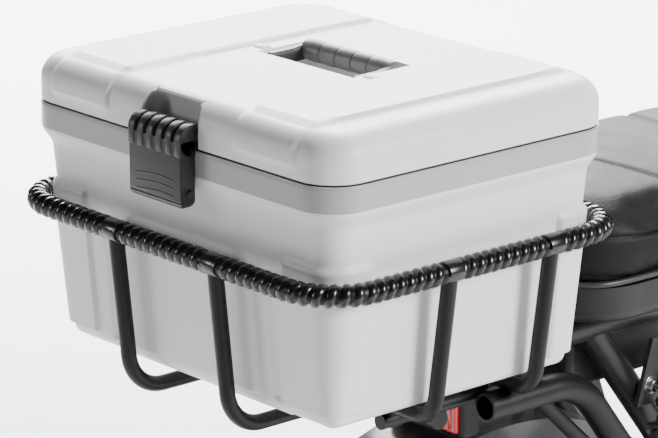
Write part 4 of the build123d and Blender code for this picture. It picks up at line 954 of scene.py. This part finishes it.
# ---------------------------------------------------------------- seat
@dataclass
class Seat:
    """The upholstered cushion and its piping."""

    bench: Bench
    voxel: float = 5 * MM
    swell: float = 6 * MM
    crown: float = 13 * MM

    def cushion(self) -> None:
        """The padded cushion: a slightly smaller block that is blown up, then crowned and seamed."""
        source = FRAME["nodes"]["seat_cushion"]
        low, high = (Vector(corner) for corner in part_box("seat_cushion"))
        middle = (low + high) / 2
        pad = self.bench.copy(source, "seat_pad", Matrix.Identity(4))
        pad.parent = None
        pad.matrix_world = Matrix.Identity(4)
        self.bench.select(pad, "VERT", lambda v: True)
        bpy.ops.mesh.remove_doubles(threshold=0.00005)
        bpy.ops.transform.resize(value=(0.975, 0.965, 0.93), center_override=middle)
        bpy.ops.object.mode_set(mode="OBJECT")
        pad.data.materials.clear()
        remesh = pad.modifiers.new("even", "REMESH")
        remesh.mode = "VOXEL"
        remesh.voxel_size = self.voxel
        self.bench.pick(pad)
        bpy.ops.object.modifier_apply(modifier="even")
        start = [vertex.co.copy() for vertex in pad.data.vertices]
        self.inflate(pad)
        for vertex, old in zip(pad.data.vertices, start):
            shift = vertex.co - old
            if shift.length > self.swell:
                vertex.co = old + shift.normalized() * self.swell
        smooth = pad.modifiers.new("soft", "SMOOTH")
        smooth.iterations = 6
        self.bench.pick(pad)
        bpy.ops.object.modifier_apply(modifier="soft")
        subdivide = pad.modifiers.new("fine", "SUBSURF")
        subdivide.levels = subdivide.render_levels = 1
        bpy.ops.object.modifier_apply(modifier="fine")
        self.shape(pad, low, high)
        self.bench.finish(pad, VINYL_BLACK, "seat", ["seat_cushion"], "seat_cover", 60)

    def inflate(self, pad: Piece) -> None:
        """Blows the pad up with a short cloth run and keeps the result."""
        cloth = pad.modifiers.new("blow", "CLOTH")
        cloth.settings.use_pressure = True
        cloth.settings.uniform_pressure_force = 4.0
        cloth.settings.effector_weights.gravity = 0.0
        cloth.settings.quality = 5
        scene = bpy.context.scene
        for frame_number in range(1, 16):
            scene.frame_set(frame_number)
        self.bench.pick(pad)
        bpy.ops.object.modifier_apply(modifier="blow")
        scene.frame_set(1)

    def shape(self, pad: Piece, low: Vector, high: Vector) -> None:
        """Crowns the top, presses the seams in and keeps the pad inside its space."""
        middle_x = (low.x + high.x) / 2
        half_x = (high.x - low.x) / 2
        for vertex in pad.data.vertices:
            co = vertex.co
            level = (co.z - low.z) / (high.z - low.z)
            if level > 0.45:
                share = smoothstep((level - 0.45) / 0.5)
                co.z -= share * self.crown * (abs(co.y) / 0.125) ** 2
                kick = smoothstep((middle_x - co.x) / half_x) * 2 * MM
                co.z += share * (kick - 3 * MM * math.exp(-((co.x - middle_x) / (0.5 * half_x)) ** 2))
                for seam in (middle_x - 0.36 * half_x, middle_x + 0.34 * half_x):
                    off_seam = (co.x - seam - 0.25 * abs(co.y)) / (3.6 * MM)
                    co.z -= share * 3.2 * MM * math.exp(-off_seam ** 2)
            pinch = math.exp(-((level - 0.62) / 0.035) ** 2)
            co.y -= math.copysign(2.4 * MM * pinch, co.y) * smoothstep((abs(co.y) - 0.05) / 0.03)
            ends = smoothstep((abs(co.x - middle_x) - 0.12) / 0.03)
            co.x -= math.copysign(2.0 * MM * pinch, co.x - middle_x) * ends
            co.x = min(max(co.x, low.x), high.x)
            co.y = min(max(co.y, low.y), high.y)
            co.z = min(max(co.z, low.z + 0.2 * MM), high.z + 1.5 * MM)

    def piping(self) -> None:
        """The welt that follows the cushion's lower edge."""
        low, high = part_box("seat_cushion")
        x0, x1, z = low[0] + 3 * MM, high[0] - 3 * MM, low[2] + 5 * MM
        rear, nose = 119 * MM, 82 * MM
        half = [(x1, 0), (x1, nose * 0.5), (x1 - 4 * MM, nose * 0.82),
                (x1 - 30 * MM, nose + 1 * MM), (x1 - 80 * MM, nose + 16 * MM),
                (x0 + 190 * MM, rear - 4 * MM), (x0 + 130 * MM, rear), (x0 + 60 * MM, rear),
                (x0 + 22 * MM, rear - 3 * MM), (x0 + 3 * MM, rear - 24 * MM), (x0, rear - 60 * MM),
                (x0, 0)]
        points = [(x, y, z) for x, y in half] + [(x, -y, z) for x, y in reversed(half[1:-1])]
        welt = self.bench.tube("seat_welt", points, 2.6 * MM, closed=True)
        self.bench.finish(welt, PIPING_BLACK, "seat", (), "seat_cover", 80)

    def build(self) -> None:
        """Builds the cushion and its piping."""
        self.cushion()
        self.piping()


# ---------------------------------------------------------------- wheels
@dataclass
class Tyre:
    """A tyre with a road tread: a zigzag centre groove and slanted side grooves."""

    bench: Bench
    node: str
    body: str
    steps: int = 720
    groove: float = 2.6 * MM

    def build(self) -> None:
        """Turns the carcass, cuts the tread and mounts the tyre."""
        low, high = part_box(self.node)
        centre = middle(low, high)
        radius = (high[2] - low[2]) / 2
        half = (high[1] - low[1]) / 2
        ring = radius - half
        profile = []
        for i in range(45):
            angle = math.radians(-125 + 250 * i / 44)
            swell = half if abs(angle) < 1.2 else half - 0.5 * MM
            profile.append((swell * math.sin(angle), ring + swell * math.cos(angle)))
        for i in range(12):
            angle = math.radians(122 - 244 * i / 11)
            inner = half - 5 * MM
            profile.append((inner * math.sin(angle), ring + inner * math.cos(angle)))
        name = "tread_" + self.body
        tyre = self.bench.turned(name, profile, centre, (0, 1, 0), self.steps)
        for vertex in tyre.data.vertices:
            offset = vertex.co - Vector(centre)
            flat = Vector((offset.x, 0, offset.z))
            if flat.length < 1e-6:
                continue
            rise = flat.length - ring
            section = math.degrees(math.atan2(offset.y, rise))
            if math.hypot(offset.y, rise) < half - 2 * MM:
                continue
            depth = self.cut_depth(math.degrees(math.atan2(offset.z, offset.x)) % 360, section)
            if depth:
                away = flat.normalized()
                outward = Vector((away.x * rise, offset.y, away.z * rise))
                vertex.co -= outward.normalized() * depth
        self.bench.finish(tyre, TYRE_RUBBER, self.body, [self.node], "tyre", 30)

    def cut_depth(self, turn: float, section: float) -> float:
        """How deep the tread is cut at a place.

        Args:
            turn: The angle round the wheel, in degrees.
            section: The angle round the tyre's section from its crown, in degrees.

        Returns:
            The depth in metres.
        """
        repeat = 10.0
        phase = (turn % repeat) / repeat
        zigzag = 7.0 * abs(2 * phase - 1) - 3.5
        centre = smoothstep((4.2 - abs(section - zigzag)) / 1.5)
        side = 1 if section > 0 else -1
        slant = ((turn + (5 if side > 0 else 0) + abs(section) * 0.09) % repeat) - repeat / 2
        reach = smoothstep((abs(section) - 15) / 3) * smoothstep((60 - abs(section)) / 5)
        sipe = smoothstep((0.75 - abs(slant)) / 0.35) * reach
        shoulder = 0.35 * smoothstep((1.1 - abs(abs(section) - 62)) / 0.7)
        return self.groove * max(centre, sipe, shoulder)


@dataclass
class WheelTrim:
    """The small parts of a wheel: disc bolts and a valve."""

    bench: Bench
    body: str
    tyre_node: str
    disc_node: str
    outward: float

    def build(self) -> None:
        """Builds and mounts the trim."""
        low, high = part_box(self.tyre_node)
        centre = Vector(middle(low, high))
        disc_low, disc_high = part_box(self.disc_node)
        face = disc_high[1] if self.outward > 0 else disc_low[1]
        parts = []
        for i in range(5):
            angle = 2 * math.pi * i / 5
            place = (centre.x + 0.024 * math.cos(angle), face, centre.z + 0.024 * math.sin(angle))
            parts.append(self.bench.rod("disc_bolt", place,
                                        (place[0], face + self.outward * 2.2 * MM, place[2]),
                                        4 * MM, 20, 0.7 * MM))
        bolts = self.bench.join(f"{self.body}_disc_bolts", parts)
        self.bench.finish(bolts, STEEL, self.body, (), "steel")
        seat = centre + Vector((0, 0, 0.149))
        stem = [self.bench.rod("stem", seat, seat - Vector((0, 0, 0.022)), 4.2 * MM, 20, 0.6 * MM,
                               3.0 * MM),
                self.bench.rod("cap", seat - Vector((0, 0, 0.021)), seat - Vector((0, 0, 0.031)),
                               3.6 * MM, 8, 0.8 * MM)]
        valve = self.bench.join(f"{self.body}_valve", stem)
        self.bench.finish(valve, RUBBER_BLACK, self.body, (), "rubber")


# ---------------------------------------------------------------- springs
@dataclass
class Springs:
    """The two coil springs over the shocks."""

    bench: Bench
    wire: float = 3.2 * MM
    radius: float = 13.6 * MM
    turns: float = 9.5

    def build(self) -> None:
        """Winds each spring by a screw and mounts it on the shock's body."""
        axis = Vector(joint("shock_stroke")["axis"]).normalized()
        low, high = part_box("shock_springs")
        middle = Vector(((low[0] + high[0]) / 2, 0, (low[2] + high[2]) / 2))
        length = math.hypot(high[0] - low[0] - 0.034 * abs(axis.z),
                            high[2] - low[2] - 0.034 * abs(axis.x))
        top = middle + axis * length / 2
        for side in (-1, 1):
            y = side * ((high[1] - low[1]) / 2 - 17 * MM)
            coil = self.coil(length - 2 * self.wire)
            turn = (-axis).to_track_quat("Z", "Y").to_matrix().to_4x4()
            coil.data.transform(Matrix.Translation(top
                                                   + Vector((0, y, 0)) - axis * self.wire) @ turn)
            coil.name = "spring_left" if side > 0 else "spring_right"
            stands_for = ["shock_springs"] if side > 0 else []
            piece = self.bench.finish(coil, SPRING_BLACK, "shock_body", stands_for, "spring", 80)
            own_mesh(piece)

    def coil(self, length: float) -> Piece:
        """One spring, standing on the origin along +Z."""
        self.bench.clear()
        bpy.ops.mesh.primitive_circle_add(vertices=12, radius=self.wire,
                                          location=(self.radius, 0, 0),
                                          rotation=(math.pi / 2, 0, 0), fill_type="NGON")
        piece = self.bench.take("coil")
        screw = piece.modifiers.new("wind", "SCREW")
        screw.axis = "Z"
        screw.angle = 2 * math.pi * self.turns
        screw.screw_offset = length
        screw.steps = screw.render_steps = int(28 * self.turns)
        screw.use_merge_vertices = True
        self.bench.pick(piece)
        bpy.ops.object.modifier_apply(modifier="wind")
        self.bench.select(piece, "VERT", lambda v: True)
        bpy.ops.mesh.normals_make_consistent(inside=False)
        bpy.ops.object.mode_set(mode="OBJECT")
        return piece


# ---------------------------------------------------------------- controls
@dataclass
class Controls:
    """Grips, bar plugs, the display's face and the headlamp's inside."""

    bench: Bench

    def grips(self) -> None:
        """Two ribbed grips with flanges and end plugs."""
        throttle = joint("throttle_twist")
        start = Vector(throttle["pos_m"])
        axis = Vector(throttle["axis"]).normalized()
        profile = [(0, 11.3 * MM), (0, 20 * MM), (3 * MM, 20 * MM), (4.5 * MM, 17 * MM)]
        for i in range(24):
            a = 8 * MM + i * 4.2 * MM
            profile += [(a, 14.6 * MM), (a + 0.6 * MM, 15.7 * MM), (a + 3.0 * MM, 15.7 * MM),
                        (a + 3.6 * MM, 14.6 * MM)]
        profile += [(110 * MM, 15.9 * MM), (117 * MM, 15.9 * MM), (118 * MM, 14.5 * MM),
                    (118 * MM, 11.3 * MM)]
        for name, body, node, side in (("throttle_ribs", "throttle", "throttle_grip", 1),
                                       ("grip_ribs", "steering", "left_grip", -1)):
            at = Vector((start.x, side * start.y, start.z))
            way = Vector((axis.x, side * axis.y, axis.z))
            grip = self.bench.turned(name, profile, at, way, 72)
            self.bench.finish(grip, RUBBER_BLACK, body, [node], "rubber", 35)
            end = at + way * 121 * MM
            plug = self.bench.rod(f"bar_plug_{body}", end - way * 2 * MM, end + way * 4 * MM,
                                  12.5 * MM, 40, 2 * MM)
            self.bench.finish(plug, CASTING_BLACK, "steering", (), "casting_black")

    def display(self) -> None:
        """A dark glass with a bar gauge over the display's face."""
        low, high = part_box("display")
        x, z = (low[0] + high[0]) / 2 + 1 * MM, high[2] - 19 * MM
        tilt = Matrix.Rotation(math.radians(-28), 4, "Y")
        glass = self.bench.block("display_glass", (-24 * MM, -40 * MM, 7.4 * MM),
                                 (24 * MM, 40 * MM, 8.8 * MM), 1.2 * MM)
        marks = []
        for i in range(6):
            tall = (6 + 2.2 * i) * MM
            marks.append(self.bench.block("mark", (-8 * MM, (-22 + 8 * i) * MM, 8.6 * MM),
                                          (-8 * MM + tall, (-17 + 8 * i) * MM, 9.1 * MM), 0.2 * MM,
                                          1))
        marks.append(self.bench.ring("dial", (8 * MM, 22 * MM, 8.8 * MM), (0, 0, 1), 9 * MM,
                                     0.5 * MM))
        gauge = self.bench.join("display_marks", marks)
        place = Matrix.Translation((x, 0, z)) @ tilt
        for piece in (glass, gauge):
            piece.data.transform(place)
        self.bench.finish(glass, SCREEN_GLASS, "steering", (), "screen")
        self.bench.finish(gauge, SCREEN_MARK, "steering", (), "screen")

    def headlamp(self) -> None:
        """A bright bowl and a bulb behind the lens, with a trim ring round it."""
        low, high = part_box("headlamp_lens")
        x, z, radius = low[0], (low[2] + high[2]) / 2, (high[2] - low[2]) / 2
        bowl = []
        for i in range(12):
            r = radius * (0.12 + 0.86 * i / 11)
            bowl.append((-30 * MM * (1 - (r / radius) ** 2) - 0.6 * MM, r))
        bowl += [(a - 1.2 * MM, r + 0.2 * MM) for a, r in reversed(bowl)]
        dish = self.bench.turned("lamp_bowl", bowl, (x, 0, z), (1, 0, 0), 72)
        self.bench.finish(dish, REFLECTOR, "steering", (), "chrome", 60)
        bulb = self.bench.rod("lamp_bulb", (x - 29 * MM, 0, z), (x - 12 * MM, 0, z), 5 * MM, 24,
                              2.2 * MM)
        self.bench.finish(bulb, LENS_CLEAR, "steering", (), "lens_clear")
        ring = self.bench.ring("lamp_trim", (high[0] - 0.5 * MM, 0, z), (1, 0, 0),
                               radius + 2.2 * MM, 2.4 * MM, 72)
        self.bench.finish(ring, CHROME, "steering", (), "chrome", 80)

    def build(self) -> None:
        """Builds every control."""
        self.grips()
        self.display()
        self.headlamp()


# ---------------------------------------------------------------- frame trim
@dataclass
class FrameTrim:
    """Bolts, the foot mat, the battery's fins, the tail lamp's ribs and the head tube's rims."""

    bench: Bench

    def bolt(self, name: str, place: Point, way: float, radius: float) -> Piece:
        """A socket bolt on a washer, pointing out along Y.

        Args:
            name: The part's name.
            place: The middle of the face that it sits on.
            way: 1 if it points to +Y, or -1.
            radius: The head's radius.

        Returns:
            The loose part.
        """
        x, y, z = place
        washer = self.bench.rod("washer", (x, y, z), (x, y + way * 1.5 * MM, z), radius * 1.5, 32,
                                0.3 * MM)
        head = self.bench.rod("head", (x, y + way * 1.2 * MM, z),
                              (x, y + way * (1.2 * MM + radius), z), radius, 32, 0.7 * MM)
        self.bench.select(head, "FACE", lambda f: f.normal.y * way > 0.95 and len(f.verts) > 8)
        bpy.ops.mesh.inset(thickness=radius * 0.38, depth=0)
        bpy.ops.mesh.inset(thickness=0.0001, depth=-radius * 0.6)
        bpy.ops.object.mode_set(mode="OBJECT")
        return self.bench.join(name, [washer, head])

    def side_bolts(self) -> None:
        """Bolts through the side plates, the rack's feet and the shocks' eyes."""
        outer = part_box("side_plates")[1][1]
        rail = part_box("carrier_rack")[1][1]
        rear_x = middle(*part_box("rear_axle"))[0]
        eye = joint("shock_swing")["pos_m"]
        for side in (-1, 1):
            parts = [self.bolt("eye_bolt", (eye[0], side * outer, eye[2]), side, 6.5 * MM)]
            parts.append(self.bolt("foot_bolt", (rear_x + 150 * MM, side * rail, 316 * MM), side,
                                   6 * MM))
            for x, z in ((122, 486), (170, 506), (240, 312), (150, 312)):
                y = side * 80 * MM
                parts.append(self.bolt("plate_bolt", (rear_x + x * MM, y, z * MM), side, 5 * MM))
            name = "frame_bolts_left" if side > 0 else "frame_bolts_right"
            self.bench.finish(self.bench.join(name, parts), STEEL, "chassis", (), "steel")

    def mat(self) -> None:
        """The foot board's ribbed mat."""
        low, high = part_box("foot_board")
        parts = []
        count = 13
        for i in range(count):
            y = low[1] + 20 * MM + (high[1] - low[1] - 40 * MM) * i / (count - 1)
            front = high[0] - (44 * MM if abs(y) < 32 * MM else 12 * MM)
            parts.append(self.bench.block("rib",
                                          (low[0] + 16 * MM, y - 3.2 * MM, high[2] - 0.5 * MM),
                                          (front, y + 3.2 * MM, high[2] + 2.2 * MM), 1.1 * MM))
        mat = self.bench.join("foot_mat", parts)
        self.bench.finish(mat, RUBBER_BLACK, "chassis", (), "rubber")

    def battery(self) -> None:
        """Fins across the battery case's underside."""
        low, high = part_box("battery_case")
        parts = []
        for i in range(9):
            x = low[0] + 26 * MM + i * (high[0] - low[0] - 52 * MM) / 8
            parts.append(self.bench.block("fin", (x - 3 * MM, low[1] + 8 * MM, low[2] - 1.5 * MM),
                                          (x + 3 * MM, high[1] - 8 * MM, low[2] + 1 * MM), 0.8 * MM,
                                          2))
        fins = self.bench.join("battery_fins", parts)
        self.bench.finish(fins, MOULDED_BLACK, "chassis", (), "black_plastic")

    def tail_lamp(self) -> None:
        """Ribs over the tail lamp's lens."""
        low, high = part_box("tail_lamp_lens")
        parts = []
        for i in range(9):
            y = low[1] + 6 * MM + (high[1] - low[1] - 12 * MM) * i / 8
            parts.append(self.bench.block("rib", (low[0] - 0.9 * MM, y - 1.6 * MM, low[2] + 3 * MM),
                                          (low[0] + 1 * MM, y + 1.6 * MM, high[2] - 3 * MM),
                                          0.8 * MM, 2))
        ribs = self.bench.join("tail_lamp_ribs", parts)
        self.bench.finish(ribs, LENS_RED, "chassis", (), "lens_red")

    def welds(self) -> None:
        """Rims at both ends of the head tube."""
        steer = joint("steering_turn")
        axis = Vector(steer["axis"]).normalized()
        at = Vector(steer["pos_m"])
        parts = []
        for shift in (-60 * MM, 60 * MM):
            parts.append(self.bench.ring("bead", at + axis * shift, axis, 24 * MM, 1.6 * MM))
        beads = self.bench.join("head_tube_rims", parts)
        self.bench.finish(beads, FRAME_BLACK, "chassis", (), "frame_paint", 80)

    def build(self) -> None:
        """Builds every trim piece."""
        self.side_bolts()
        self.mat()
        self.battery()
        self.tail_lamp()
        self.welds()


# ---------------------------------------------------------------- the frame's own nodes
NODE_FINISHES: dict[Finish, tuple[str, ...]] = {
    FRAME_BLACK: ("frame_neck", "frame_deck", "frame_seat_tower", "stem", "swingarm",
                  "centre_stand"),
    RACK_BLACK: ("carrier_rack", "basket_frame"),
    PLATE_GRAPHITE: ("side_plates", "shock_bodies"),
    STEEL: ("hinge_pins", "front_axle", "rear_axle", "headset_bearings", "front_bearings",
            "motor_stator"),
    CHROME: ("fork_stanchions", "shock_rods"),
    DISC_STEEL: ("front_disc", "rear_disc"),
    ALLOY: ("brake_perches", "brake_lever_left", "brake_lever_right", "motor_covers"),
    CASTING_BLACK: ("fork_crown", "fork_lowers", "handlebar", "front_wheel", "rear_wheel",
                    "front_caliper", "rear_caliper"),
    MOULDED_BLACK: ("battery_case", "controller_box", "tail_lamp_housing", "headlamp_housing",
                    "switch_pod", "seat_pan", "display"),
    GUARD_BLACK: ("front_mudguard", "rear_mudguard"),
    RUBBER_BLACK: ("foot_board", "box_seal", "control_leads", "front_brake_hose", "rear_brake_hose",
                   "left_grip", "throttle_grip"),
    TYRE_RUBBER: ("front_tyre", "rear_tyre"),
    LENS_RED: ("tail_lamp_lens",),
    LENS_CLEAR: ("headlamp_lens",),
    BUTTON_RED: ("horn_button",),
    BOX_WHITE: ("box_body", "box_lid"),
    LATCH_GREY: ("latch", "handle_bail"),
    HANDLE_GREY: ("handle_grip",),
    WRAP_BLACK: ("ring_wrap",),
    VINYL_BLACK: ("seat_cushion",),
    SPRING_BLACK: ("shock_springs",),
}


def dress_nodes(palette: Palette) -> None:
    """Gives every carried-over node its finish."""
    for finish, names in NODE_FINISHES.items():
        material = palette.get(finish)
        for name in names:
            node = FRAME["nodes"][name]
            if not node.material_slots:
                node.data.materials.append(material)
            for slot in node.material_slots:
                slot.material = material


# ---------------------------------------------------------------- the studio
@dataclass
class Studio:
    """A pale floor, soft lamps and the camera."""

    bench: Bench
    box: CargoBox
    lens: float = 200.7
    bearing: float = 48.9
    dip: float = 16.5
    stand: tuple[float, float, float] = (-1.7276, -1.9946, 0.6972)

    def camera(self) -> None:
        """Sets the camera behind the right rear corner."""
        data = bpy.data.cameras.new("camera")
        data.lens = self.lens
        data.sensor_width = 36.0
        data.clip_end = 60.0
        camera = bpy.data.objects.new("camera", data)
        bpy.context.collection.objects.link(camera)
        camera.location = Vector((self.box.x, 0, self.box.z)) + Vector(self.stand)
        a, b = math.radians(self.bearing), math.radians(self.dip)
        look = Vector((math.cos(a) * math.cos(b), math.sin(a) * math.cos(b), -math.sin(b)))
        camera.rotation_euler = look.to_track_quat("-Z", "Y").to_euler()
        bpy.context.scene.camera = camera

    def lamp(self, name: str, place: Point, target: Point, size: float, power: float) -> None:
        """Adds one soft lamp that points at a target."""
        data = bpy.data.lights.new(name, "AREA")
        data.shape = "DISK"
        data.size = size
        data.energy = power
        lamp = bpy.data.objects.new(name, data)
        bpy.context.collection.objects.link(lamp)
        lamp.location = place
        lamp.rotation_euler = (Vector(target) - Vector(place)).to_track_quat("-Z", "Y").to_euler()

    def build(self) -> None:
        """Builds the floor, the lamps, the sky and the camera."""
        self.bench.clear()
        bpy.ops.mesh.primitive_plane_add(size=60, location=(0, 0, -0.2 * MM))
        floor = self.bench.take("floor")
        floor.data.materials.append(Finish("floor_white", (0.86, 0.86, 0.86), 0.9, grain_size=0.01,
                                           depth=0.0, variation=0.01).build())
        x, z = self.box.x, self.box.z
        aim = (x + 0.1, 0, z - 0.1)
        self.lamp("key", (x + 1.2, -3.0, 2.0), aim, 1.2, 190)
        self.lamp("rear_fill", (x - 2.6, 2.2, 1.5), aim, 0.8, 26)
        self.lamp("top", (x + 1.3, 1.0, 3.0), (x + 0.1, 0, 0.4), 1.2, 150)
        self.lamp("backdrop", (1.6, 2.8, 2.0), (1.4, 2.4, 0), 3.0, 520)
        world = bpy.data.worlds.new("studio")
        bpy.context.scene.world = world
        world.use_nodes = True
        world.node_tree.nodes["Background"].inputs["Color"].default_value = (0.95, 0.96, 1.0, 1)
        world.node_tree.nodes["Background"].inputs["Strength"].default_value = 0.09
        self.camera()


def main() -> None:
    """Builds the whole object in order and reports each piece."""
    logging.basicConfig(level=logging.INFO, format="%(message)s")
    FRAME.update(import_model())
    palette = Palette()
    bench = Bench(palette)
    box = CargoBox(bench)
    Studio(bench, box).build()
    dress_nodes(palette)
    box.build()
    Basket(bench).build()
    Seat(bench).build()
    Tyre(bench, "front_tyre", "front_wheel").build()
    Tyre(bench, "rear_tyre", "rear_wheel").build()
    WheelTrim(bench, "front_wheel", "front_tyre", "front_disc", -1.0).build()
    WheelTrim(bench, "rear_wheel", "rear_tyre", "rear_disc", 1.0).build()
    Springs(bench).build()
    Controls(bench).build()
    FrameTrim(bench).build()


if __name__ == "__main__":
    main()
